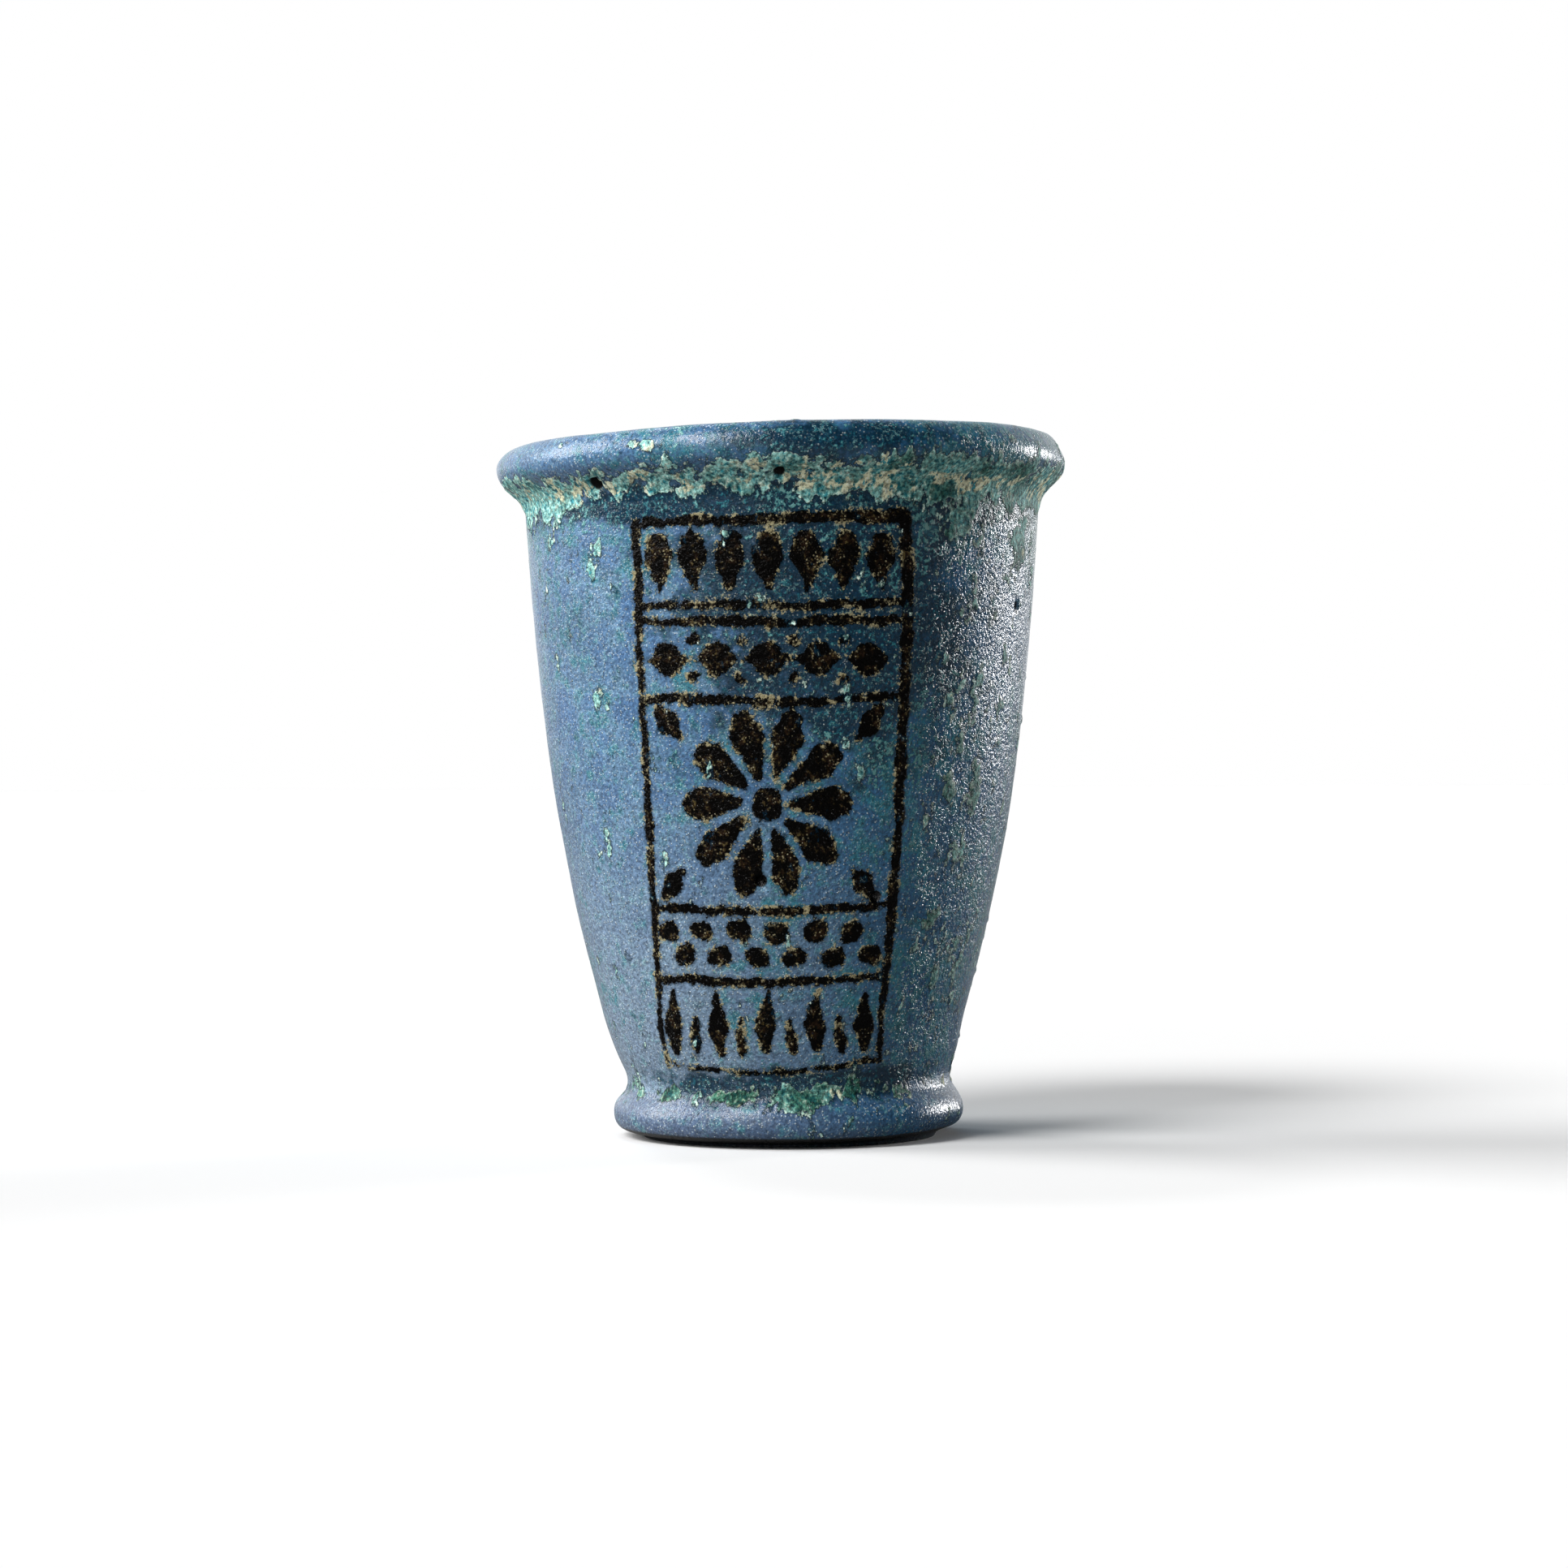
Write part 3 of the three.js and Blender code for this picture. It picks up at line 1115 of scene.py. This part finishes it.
class Way(Enum):
    """Ways of working a tone out from others: a node, its settings, its sockets in order, its output."""

    PLUS = ("ShaderNodeMath", {"operation": "MULTIPLY_ADD"}, (2, 1, 0), 0)  # with a share of another
    MINUS = ("ShaderNodeMath", {"operation": "SUBTRACT"}, (0, 1), 0)
    TIMES = ("ShaderNodeMath", {"operation": "MULTIPLY"}, (0, 1), 0)
    LARGER = ("ShaderNodeMath", {"operation": "MAXIMUM"}, (0, 1), 0)
    UNSIGNED = ("ShaderNodeMath", {"operation": "ABSOLUTE"}, (0,), 0)
    STEP = (
        "ShaderNodeMapRange",
        {"interpolation_type": "SMOOTHSTEP"},
        ("Value", "From Min", "From Max", "To Max"),
        0,
    )
    BLEND = ("ShaderNodeMix", {"data_type": "RGBA"}, (0, 6, 7), 2)  # share, from, to
    SHADE = ("ShaderNodeMix", {"data_type": "RGBA", "blend_type": "MULTIPLY"}, (0, 6, 7), 2)

    def __call__(self, *values: Tone | str | float) -> Tone:
        """Works a tone out.

        Args:
            values: what the sockets are given, in order. The last ones can be left out.

        Returns:
            The tone, in the tree of those that it comes from.
        """
        kind, settings, sockets, output = self.value
        tree = next(value for value in values if isinstance(value, Tone)).id_data
        return add_node(tree, kind, settings, dict(zip(sockets, values)), output)


def lay(base: Tone | str, *coats: tuple[Tone, Tone | str]) -> Tone:
    """Lays coats over a colour.

    Args:
        base: the colour below.
        coats: for each coat its share and its colour, the lowest first.

    Returns:
        The colour that is seen.
    """
    for share, colour in coats:
        base = Way.BLEND(share, base, colour)
    return base


def empty_tree(owner: bpy.types.Material | bpy.types.World) -> bpy.types.NodeTree:
    """Gives a material or the world a tree of its own nodes.

    Args:
        owner: the material or the world.

    Returns:
        Its tree, without a node.
    """
    owner.use_nodes = True
    owner.node_tree.nodes.clear()
    return owner.node_tree


@dataclass(frozen=True)
class Ground:
    """What the layers of a glaze are worked out from."""

    field: dict[Field, Tone]
    grain: Tone  # sugary quartz
    speck: Tone
    patch: Tone
    mottle: Tone
    cloud: Tone
    fine: Tone  # specks roughened by the grain, between about 0.5 and 1
    fibre: Tone  # specks drawn upwards into fibres, between about 0.6 and 1.1
    pale_grit: Tone
    glint: Tone  # the few palest grains, whose pale colour is partly a painted glint
    dark_grit: Tone
    thread: Tone  # broken pale lines a few grains long
    height: Tone  # over the table, in metres
    gain: Tone  # how much lighter or darker a grain is than its neighbours


@dataclass(frozen=True)
class FaienceGlaze:
    """Glazed faience: quartz paste under a thin copper-blue alkaline glaze, fired once and buried.

    The quartz grit shows through as a sugary grain that glints, the weathered glaze is satin, and
    the crust that grew on it is rough and turquoise, bleached to cream in places.
    """

    name: str
    pale_blue: str = "#7BA1C0"
    mid_blue: str = "#5A80AC"
    # deeper blue of the right and the back, partly painted shade where the lamps reach less
    deep_blue: str = "#125C86"
    slate: str = "#4F7290"
    # paler, greyer blue towards the bottom, partly painted sheen where the lower wall mirrors the floor
    lower_slate_and_sheen: str = "#8C9FB2"
    # pale grit, and on the glinting grains partly a painted glint
    grit: str = "#D8E8EA"
    dark_grit: str = "#2A4664"
    haze: str = "#2A8494"
    # dark teal of stains, also painted as shade under the lip, in the cove and round the crust
    stain: str = "#052F44"
    turquoise: str = "#ACE6DC"
    teal: str = "#338E9A"
    deep_teal: str = "#1F686F"
    deep_green: str = "#0A3D38"
    leaf_green: str = "#4A7F67"
    # pale fringe of the crust, partly painted highlight on its raised edges and fibres
    fringe_and_highlight: str = "#E8F3E4"
    cream: str = "#ECEBC6"
    rust: str = "#77683F"
    ink: str = "#040302"
    ink_brown: str = "#281A0F"
    bleached: str = "#BDB28B"
    # painted shade: near-black inside the burst bubbles
    hole: str = "#020202"
    paste: str = "#8E8573"
    earth: str = "#5E5240"
    # painted shade: near-black for the undercut of the foot's toe, where the contact shadow falls
    toe_shade: str = "#0A0908"
    toe_shade_level: float = 1.0  # height up to which painted shade fills the undercut of the foot's toe
    toe_shade_edge: float = 0.12
    lower_slate_and_sheen_levels: tuple[float, float] = (38.0, 9.0)  # where it starts and where it is full
    grain_size: float = 0.33  # drawn a little coarser than the sugary quartz, so that a preview holds it
    grit_size: float = 0.21
    fibre_squash: float = 0.4  # the crust's fibres run upwards, and are longer than wide by this share
    speck_size: float = 0.6
    patch_size: float = 1.5
    mottle_size: float = 3.0
    cloud_size: float = 12.0
    harshness: float = 0.62  # how strong the finer lumps of each pattern are against the larger
    roughness: float = 0.13
    crust_roughness: float = 0.55
    refraction: float = 1.5  # of a soda-rich glass
    gloss: float = 0.45  # of the glaze, against 0.5 for a clean one
    least_gloss: float = 0.06
    relief: float = 1.0  # share of the full bump that the glaze has

    def build(self) -> bpy.types.Material:
        """Makes the material.

        Returns:
            A material that reads Object coordinates and the skin's fields.
        """
        material = bpy.data.materials.new(self.name)
        ground = self.ground(empty_tree(material))
        colour, ink = self.paint(ground, self.body(ground))
        colour, specks = self.specks(ground, colour)
        colour, crust = self.crust(ground, colour)
        levels = [(self.toe_shade_level + side * self.toe_shade_edge) * METRES for side in (1, -1)]
        glazed = Way.MINUS(1.0, ground.field[Field.BARE])
        colour = lay(
            colour,
            # painted shade inside the burst bubbles
            (Way.STEP(ground.field[Field.PIT], -0.1, 0.06), self.hole),
            # painted shade in the undercut of the foot's toe
            (Way.TIMES(Way.STEP(ground.height, *levels), glazed), self.toe_shade),
        )
        self.surface(ground, colour, ink, specks, crust)
        return material

    def ground(self, tree: bpy.types.NodeTree) -> Ground:
        """Lays out the patterns that colour and bump share, each at its real size.

        Args:
            tree: the material's nodes.

        Returns:
            The patterns, and the fields that the skin carries.
        """
        place = add_node(tree, "ShaderNodeTexCoord", output="Object")
        squash = {"Vector": place, "Scale": (1.0, 1.0, self.fibre_squash)}
        drawn = add_node(tree, "ShaderNodeMapping", inputs=squash)
        made = {}
        for name, size, detail, where in (
            ("grain", self.grain_size, 2.0, place),
            ("speck", self.speck_size, 4.0, place),
            ("patch", self.patch_size, 5.0, place),
            ("mottle", self.mottle_size, 5.0, place),
            ("cloud", self.cloud_size, 2.0, place),
            ("fibre", self.grain_size, 3.0, drawn),
        ):
            inputs = {"Vector": where, "Scale": 1 / (size * METRES), "Detail": detail}
            inputs["Roughness"] = self.harshness
            made[name] = add_node(tree, "ShaderNodeTexNoise", inputs=inputs)
        grain, speck, patch = made["grain"], made["speck"], made["patch"]
        made["fibre"] = Way.PLUS(speck, 0.7, made["fibre"])
        grit = {"Vector": place, "Scale": 1 / (self.grit_size * METRES)}
        dome = Way.STEP(add_node(tree, "ShaderNodeTexVoronoi", inputs=grit), 0.52, 0.2)
        pick = add_node(tree, "ShaderNodeTexVoronoi", inputs=grit, output="Color")
        level = Way.UNSIGNED(Way.MINUS(speck, 0.5))
        broken = Way.TIMES(Way.STEP(grain, 0.44, 0.58), Way.STEP(patch, 0.46, 0.62))
        gain = {"Value": grain, "From Min": 0.3, "From Max": 0.7, "To Min": 0.55, "To Max": 1.45}
        return Ground(
            field={
                each: add_node(tree, "ShaderNodeAttribute", {"attribute_name": each.value}, output="Fac")
                for each in Field
            },
            fine=Way.PLUS(speck, 0.5, grain),
            pale_grit=Way.TIMES(dome, Way.STEP(pick, 0.54, 0.68)),
            glint=Way.TIMES(dome, Way.STEP(pick, 0.74, 0.8)),
            dark_grit=Way.TIMES(dome, Way.STEP(pick, 0.4, 0.28)),
            thread=Way.TIMES(Way.STEP(level, 0.036, 0.01), broken),
            height=add_node(tree, "ShaderNodeSeparateXYZ", inputs={0: place}, output="Z"),
            gain=add_node(tree, "ShaderNodeMapRange", inputs=gain),
            **made,
        )

    def body(self, ground: Ground) -> Tone:
        """Mixes the glaze itself: clouded, mottled, with stains, painted shade and sheen, and sown with pale
        and dark grit.

        Args:
            ground: the patterns and fields.

        Returns:
            Its colour, that of the paste where that lies bare.
        """
        deep, stain, bare = (ground.field[each] for each in (Field.DEEP, Field.STAIN, Field.BARE))
        levels = [level * METRES for level in self.lower_slate_and_sheen_levels]
        low = Way.STEP(ground.height, *levels, 0.75)
        hazy = Way.PLUS(ground.patch, 0.32, ground.field[Field.GROWTH])
        stained_and_shaded = Way.PLUS(Way.PLUS(stain, 0.7, ground.fine), 0.6, ground.patch)
        blue = lay(
            Way.BLEND(Way.STEP(ground.mottle, 0.36, 0.64), self.mid_blue, self.pale_blue),
            (Way.TIMES(deep, 0.9), self.deep_blue),
            (Way.STEP(ground.cloud, 0.45, 0.75, 0.5), self.slate),
            # paler towards the bottom, partly painted sheen of the floor
            (Way.TIMES(low, Way.MINUS(1.0, deep)), self.lower_slate_and_sheen),
            (Way.STEP(hazy, 0.54, 0.74, 0.8), self.haze),
            (Way.TIMES(ground.pale_grit, 0.4), self.grit),
            # stains, with painted shade under the lip and in the cove
            (Way.STEP(stained_and_shaded, 0.96, 1.26, 0.95), self.stain),
            (Way.TIMES(Way.STEP(ground.fine, 0.78, 0.92, 0.75), stain), self.haze),
            (Way.TIMES(ground.thread, 0.45), self.turquoise),
            # partly painted glint: the glinting grains are coloured pale as well as raised and glossy
            (Way.TIMES(ground.glint, 0.4), self.grit),
        )
        earthy = Way.STEP(Way.PLUS(ground.mottle, 0.6, ground.speck), 0.7, 0.92, 0.9)
        paste = Way.BLEND(earthy, self.paste, self.earth)
        paste = lay(paste, (Way.TIMES(ground.pale_grit, 0.5), self.bleached))
        return lay(
            Way.SHADE(1.0, blue, ground.gain),
            (Way.TIMES(ground.dark_grit, 0.6), self.dark_grit),
            (bare, Way.SHADE(1.0, paste, ground.gain)),
        )

    def paint(self, ground: Ground, below: Tone) -> tuple[Tone, Tone]:
        """Lays manganese paint: black, browned where it is thick, bleached in clusters at its edges.

        Args:
            ground: the patterns and fields.
            below: the colour under it.

        Returns:
            The colour that is seen, and the share of paint.
        """
        grain, patch = ground.grain, ground.patch
        edge = Way.PLUS(ground.field[Field.INK], 0.9, ground.fine)
        mask, halo = Way.STEP(edge, 0.6, 0.72), Way.STEP(edge, 0.38, 0.62)
        clusters = Way.STEP(Way.PLUS(patch, 1.1, grain), 1.12, 1.22)
        flecks = Way.TIMES(Way.TIMES(halo, Way.STEP(edge, 1.0, 0.74)), clusters)
        thick = Way.TIMES(Way.STEP(edge, 0.85, 1.1), Way.STEP(patch, 0.46, 0.58))
        brown = Way.TIMES(thick, Way.STEP(ground.fine, 0.66, 0.84))
        ink = lay(
            Way.BLEND(brown, self.ink, self.ink_brown),
            (Way.TIMES(brown, Way.STEP(grain, 0.55, 0.66, 0.65)), self.rust),
            # partly painted glints: pale dots over the paint
            (Way.TIMES(ground.pale_grit, Way.STEP(patch, 0.5, 0.6, 0.7)), self.bleached),
        )
        return lay(below, (Way.TIMES(halo, 0.5), self.stain), (mask, ink), (flecks, self.bleached)), mask

    def specks(self, ground: Ground, below: Tone) -> tuple[Tone, Tone]:
        """Sows small turquoise specks, as thickly as the growth field says.

        Args:
            ground: the patterns and fields.
            below: the colour under them.

        Returns:
            The colour that is seen, and the share of specks.
        """
        sown = Way.PLUS(ground.fine, 0.34, ground.field[Field.GROWTH])
        sown = Way.PLUS(sown, 0.1, ground.thread)
        off_paint = Way.STEP(ground.field[Field.INK], 0.0, -0.4)
        mask = Way.TIMES(Way.STEP(sown, 0.95, 1.02, 0.85), off_paint)
        tone = Way.BLEND(Way.STEP(sown, 0.99, 1.1), self.teal, self.turquoise)
        tone = lay(tone, (Way.TIMES(ground.field[Field.DEEP], 0.7), self.deep_teal))
        return lay(below, (mask, tone)), mask

    def crust(self, ground: Ground, below: Tone) -> tuple[Tone, Tone]:
        """Lays the raised crust: fine teal and turquoise, bleached to cream in clusters, painted with
        highlight and shadow.

        Args:
            ground: the patterns and fields.
            below: the colour under it.

        Returns:
            The colour that is seen, and the share of crust.
        """
        fibre, grain, green = ground.fibre, ground.grain, ground.field[Field.GREEN]
        jagged = Way.PLUS(ground.field[Field.CRUST], 1.6, fibre)
        verdigris = Way.BLEND(Way.STEP(fibre, 0.74, 0.98), self.deep_green, self.leaf_green)
        bleached = Way.STEP(Way.PLUS(ground.field[Field.CREAM], 1.0, fibre), 0.82, 1.08, 0.95)
        pale = Way.BLEND(Way.STEP(grain, 0.6, 0.72, 0.5), self.cream, self.rust)
        pale = lay(pale, (Way.STEP(fibre, 0.84, 0.74), self.teal))
        # partly painted highlight: pale ridges along the fibres and a pale rim along the crust's edges
        ridges, rim = Way.STEP(fibre, 0.94, 1.06, 0.85), Way.STEP(jagged, 1.66, 1.4, 0.7)
        rim = Way.TIMES(rim, Way.STEP(grain, 0.44, 0.6))
        dull = [Way.MINUS(1.0, Way.TIMES(green, share)) for share in (0.6, 0.4)]
        tone = lay(
            Way.BLEND(Way.STEP(fibre, 0.7, 0.9), self.teal, self.turquoise),
            (green, verdigris),
            (Way.TIMES(ground.field[Field.DEEP], 0.3), self.deep_teal),
            (bleached, pale),
            (Way.TIMES(ridges, dull[0]), self.fringe_and_highlight),
            (Way.TIMES(rim, dull[1]), self.fringe_and_highlight),
        )
        for _ in range(2):  # the grains of the crust differ twice as much as those of the glaze
            tone = Way.SHADE(1.0, tone, ground.gain)
        mask = Way.STEP(jagged, 1.34, 1.46)
        # painted shadow: a dark teal ring round the raised crust
        return lay(below, (Way.STEP(jagged, 1.08, 1.34, 0.8), self.stain), (mask, tone)), mask

    def surface(self, ground: Ground, colour: Tone, ink: Tone, specks: Tone, crust: Tone) -> None:
        """Ties colour, roughness, gloss and a bump in millimetres to the shader.

        Args:
            ground: the patterns and fields.
            colour: the colour that is seen.
            ink: the share of paint, which is dull.
            specks: the share of specks.
            crust: the share of crust, which is rough and dull.
        """
        tree = colour.id_data
        rough = Way.PLUS(self.roughness, 0.06, ground.grain)
        rough = Way.PLUS(rough, self.crust_roughness - self.roughness, crust)
        gloss = self.gloss
        for share, part in (
            (0.5, ground.glint),
            (-0.38, ink),
            (-0.2, ground.field[Field.STAIN]),
            (-0.22, crust),
        ):
            gloss = Way.PLUS(gloss, share, part)
        height = Way.TIMES(ground.grain, 0.12)
        for rise, part in (
            (0.08, ground.glint),
            (0.03, ground.thread),
            (0.05, ground.speck),
            (0.03, ink),
            (0.12, Way.TIMES(ink, ground.fine)),
            (0.03, specks),
            (0.08, crust),
            (0.25, Way.TIMES(crust, ground.fibre)),
        ):
            height = Way.PLUS(height, rise, part)
        bump = {"Strength": 1.0, "Distance": self.relief * METRES, "Height": height}
        shine = {"Value": gloss, "Min": self.least_gloss}
        inputs = {
            "Base Color": colour,
            "Roughness": rough,
            "Normal": add_node(tree, "ShaderNodeBump", inputs=bump),
            "IOR": self.refraction,
            "Specular IOR Level": add_node(tree, "ShaderNodeClamp", inputs=shine),
        }
        shader = add_node(tree, "ShaderNodeBsdfPrincipled", inputs=inputs)
        add_node(tree, "ShaderNodeOutputMaterial", inputs={"Surface": shader})


@dataclass(frozen=True)
class Shell:
    """The faces of one finished piece, for shading it alike with its neighbours."""

    mesh: bpy.types.Mesh
    corners: np.ndarray  # the vertex of each loop
    exposed: np.ndarray  # for each loop, whether its face is part of the skin
    keys: np.ndarray  # for each vertex, its place as whole numbers
    slopes: np.ndarray  # for each vertex, the sum of its exposed faces' normals
    seam: np.ndarray  # for each vertex, whether a seat meets the skin there

    @classmethod
    def of(cls, mesh: bpy.types.Mesh) -> "Shell":
        """Reads the faces of a piece, whose seats are the ones that are shaded flat.

        Args:
            mesh: the piece's mesh.

        Returns:
            Its faces as the shading needs them.
        """
        faces, count = mesh.polygons, len(mesh.vertices)
        corners = read(mesh.loops, "vertex_index", kind=np.int32)
        sizes = read(faces, "loop_total", kind=np.int32)
        exposed = np.repeat(read(faces, "use_smooth", kind=bool), sizes)
        weights = np.repeat(read(faces, "normal", 3) * read(faces, "area")[:, None], sizes, axis=0)
        slopes = np.zeros((count, 3))
        np.add.at(slopes, corners[exposed], weights[exposed])
        touched = [np.bincount(corners[part], minlength=count) > 0 for part in (exposed, ~exposed)]
        keys = np.round(read(mesh.vertices, "co", 3) * SEAM_STEPS).astype(np.int64)
        return cls(mesh, corners, exposed, keys, slopes, touched[0] & touched[1])

    def shade(self, shared: dict[tuple[int, ...], np.ndarray]) -> None:
        """Sets the normals along the seams to those that the neighbours share.

        Args:
            shared: for each place on a seam, the sum of its exposed faces' normals.
        """
        normals = np.zeros((len(self.corners), 3))
        for loop in np.flatnonzero(self.exposed & self.seam[self.corners]):
            slope = shared[tuple(self.keys[self.corners[loop]])]
            normals[loop] = slope / np.linalg.norm(slope)
        self.mesh.normals_split_custom_set(normals.tolist())


def close_seams(pieces: list[bpy.types.Object]) -> None:
    """Shades the pieces as one surface where they meet, as the glaze runs on over their seams.

    Args:
        pieces: the finished pieces.
    """
    shells = [Shell.of(piece.data) for piece in pieces]
    shared: dict[tuple[int, ...], np.ndarray] = {}
    for shell in shells:
        for vertex in np.flatnonzero(shell.seam):
            key = tuple(shell.keys[vertex])
            shared[key] = shared.get(key, 0) + shell.slopes[vertex]
    for shell in shells:
        shell.shade(shared)


@dataclass(frozen=True)
class Cup:
    """The whole cup: five turned pieces under one skin."""

    form: CupForm
    panel: PaintedPanel = PaintedPanel()
    weather: Weathering = Weathering()
    glazes: tuple[FaienceGlaze, ...] = (
        FaienceGlaze("wall_glaze"),
        # the rim and the foot take darker blues, partly their own colour, partly painted shade against the
        # stronger light on their upward faces
        FaienceGlaze("rim_glaze", roughness=0.18, relief=0.5, mid_blue="#567CA5", pale_blue="#678DB2"),
        FaienceGlaze(
            "foot_glaze",
            roughness=0.2,
            relief=0.6,
            slate="#56647F",
            lower_slate_and_sheen="#62748F",
            mid_blue="#54698C",
            pale_blue="#68809E",
        ),
        FaienceGlaze("luting_glaze", roughness=0.25),
    )

    def pieces(self) -> list[TurnedPiece]:
        """Lists the pieces in the order in which the cup was put together.

        Returns:
            The foot, its bed, the wall, the rim's bed and the rim.
        """
        form = self.form
        return [
            TurnedPiece(
                "glazed_foot", "foot_disc", "foot_glaze", ("hollow", "instep"), end_level=form.foot_height
            ),
            TurnedPiece(
                "foot_luting_band",
                "foot_luting",
                "luting_glaze",
                ("foot_bed", "foot_bed"),
                start_level=form.foot_height,
                end_level=form.bed_level,
            ),
            TurnedPiece(
                "glazed_wall",
                "vessel_wall",
                "wall_glaze",
                ("cove", "swell"),
                ("inner", "floor"),
                start_level=form.bed_level,
            ),
            TurnedPiece(
                "rim_luting_band",
                "rim_luting",
                "luting_glaze",
                ("rim_bed", "rim_bed"),
                ("throat_bed", "throat_bed"),
            ),
            TurnedPiece("glazed_rim", "rim_roll", "rim_glaze", ("flare", "throat")),
        ]

    def build(self) -> None:
        """Builds and dresses every piece, hides the solid that it stands for, and hangs it from the root."""
        skin = Skin.of(self.form)
        glazes = {glaze.name: glaze.build() for glaze in self.glazes}
        parts = self.pieces()
        built = [part.build(self.form, skin, self.panel, self.weather) for part in parts]
        close_seams(built)
        for part, piece in zip(parts, built):
            piece.data.materials.append(glazes[part.slot])
            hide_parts(part.node)
            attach(piece, "root")
            log.info("%s: %d faces, stands for %s", part.name, len(piece.data.polygons), part.node)


@dataclass(frozen=True)
class Lamp:
    """A lamp that shines evenly from far away."""

    name: str
    turn: float  # degrees round the cup from the front
    rise: float  # degrees over the horizon
    strength: float  # on a surface that faces it
    softness: float  # how wide it looks from the cup, in degrees

    def build(self) -> None:
        """Adds it to the scene."""
        lamp = bpy.data.lights.new(self.name, "SUN")
        lamp.energy = self.strength
        lamp.angle = math.radians(self.softness)
        holder = put(self.name, lamp)
        holder.rotation_euler = (math.radians(90 - self.rise), 0, math.radians(self.turn))


@dataclass(frozen=True)
class Studio:
    """A white floor, a soft light high in front, three low ones, and a small one for the edges."""

    lamps: tuple[Lamp, ...] = (
        Lamp("key_light", -43.0, 44.0, 2.25, 26.0),
        Lamp("front_light", -25.0, 10.0, 0.6, 40.0),
        Lamp("left_light", -100.0, 27.0, 2.2, 34.0),
        Lamp("back_light", 128.0, 6.0, 1.7, 14.0),
        Lamp("edge_light", -150.0, 58.0, 0.3, 8.0),
    )
    world_strength: float = 0.025
    room_share: float = 0.05  # of white, what the glaze mirrors of the dim room in front of the cup
    floor_share: float = 0.08  # and of the floor
    floor_white: float = 1.0
    floor_bounce: float = 0.26
    floor_reach: float = 30000.0
    camera_distance: float = 346.6
    camera_height: float = 32.1
    camera_offset: float = 0.07
    camera_lens: float = 86.8
    camera_sensor: float = 36.0
    camera_sight: tuple[float, float] = (10.0, 100000.0)  # nearest and furthest distance that it sees
    camera_roll: float = 0.25

    def floor(self) -> None:
        """Adds the floor: white where it is seen, dimmer where its light would fall on the cup."""
        sheet = bmesh.new()
        bmesh.ops.create_grid(sheet, x_segments=1, y_segments=1, size=self.floor_reach * METRES)
        mesh = bpy.data.meshes.new("floor")
        sheet.to_mesh(mesh)
        sheet.free()
        material = bpy.data.materials.new("matt_white_floor")
        tree = empty_tree(material)
        white, dim = ((level,) * 3 + (1.0,) for level in (self.floor_white, self.floor_bounce))
        colour = Way.BLEND(self.seen(tree, self.floor_share), dim, white)
        shader = add_node(tree, "ShaderNodeBsdfDiffuse", inputs={"Color": colour})
        add_node(tree, "ShaderNodeOutputMaterial", inputs={"Surface": shader})
        mesh.materials.append(material)
        put("floor", mesh)

    def seen(self, tree: bpy.types.NodeTree, mirrored: Tone | float) -> Tone:
        """Tells what the camera sees, straight or through glass, from what only lights the cup.

        Args:
            tree: the nodes of the floor or of the surroundings.
            mirrored: the share that is given in a reflection.

        Returns:
            1 where it is seen, that share in a reflection, 0 elsewhere.
        """
        camera, glossy, through = (
            add_node(tree, "ShaderNodeLightPath", output=f"Is {ray} Ray")
            for ray in ("Camera", "Glossy", "Transmission")
        )
        return Way.LARGER(Way.LARGER(camera, Way.TIMES(glossy, mirrored)), through)

    def world(self) -> None:
        """Fills the surroundings: white behind the cup, dim in front, a weak even light on the cup."""
        world = bpy.data.worlds.new("studio")
        bpy.context.scene.world = world
        tree = empty_tree(world)
        way = add_node(tree, "ShaderNodeTexCoord", output="Generated")
        depth = add_node(tree, "ShaderNodeSeparateXYZ", inputs={0: way}, output="Y")
        inputs = {"Value": depth, "From Min": 0.0, "From Max": 0.7, "To Min": self.room_share}
        seen = self.seen(tree, add_node(tree, "ShaderNodeMapRange", inputs=inputs))
        inputs = {0: seen, 2: self.world_strength, 3: 1.0}
        strength = add_node(tree, "ShaderNodeMix", {"data_type": "FLOAT"}, inputs)
        sky = add_node(tree, "ShaderNodeBackground", inputs={"Color": (1, 1, 1, 1), "Strength": strength})
        add_node(tree, "ShaderNodeOutputWorld", inputs={"Surface": sky})

    def camera(self) -> None:
        """Stands the camera where the photograph was taken from, level and a little tilted."""
        lens = bpy.data.cameras.new("camera")
        lens.lens = self.camera_lens
        lens.sensor_width = self.camera_sensor
        lens.clip_start, lens.clip_end = (distance * METRES for distance in self.camera_sight)
        holder = put("camera", lens)
        offset, distance, height = self.camera_offset, self.camera_distance, self.camera_height
        holder.location = (offset * METRES, -distance * METRES, height * METRES)
        holder.rotation_euler = (math.radians(90), math.radians(self.camera_roll), 0)
        bpy.context.scene.camera = holder

    def build(self) -> None:
        """Sets up camera, floor, surroundings and lamps."""
        bpy.context.scene.view_settings.view_transform = "Standard"
        self.camera()
        self.floor()
        self.world()
        for lamp in self.lamps:
            lamp.build()


def main() -> None:
    """Builds the studio and the cup."""
    logging.basicConfig(level=logging.INFO, format="%(name)s %(message)s")
    Studio().build()
    Cup(CupForm.from_frame()).build()


if __name__ == "__main__":
    main()
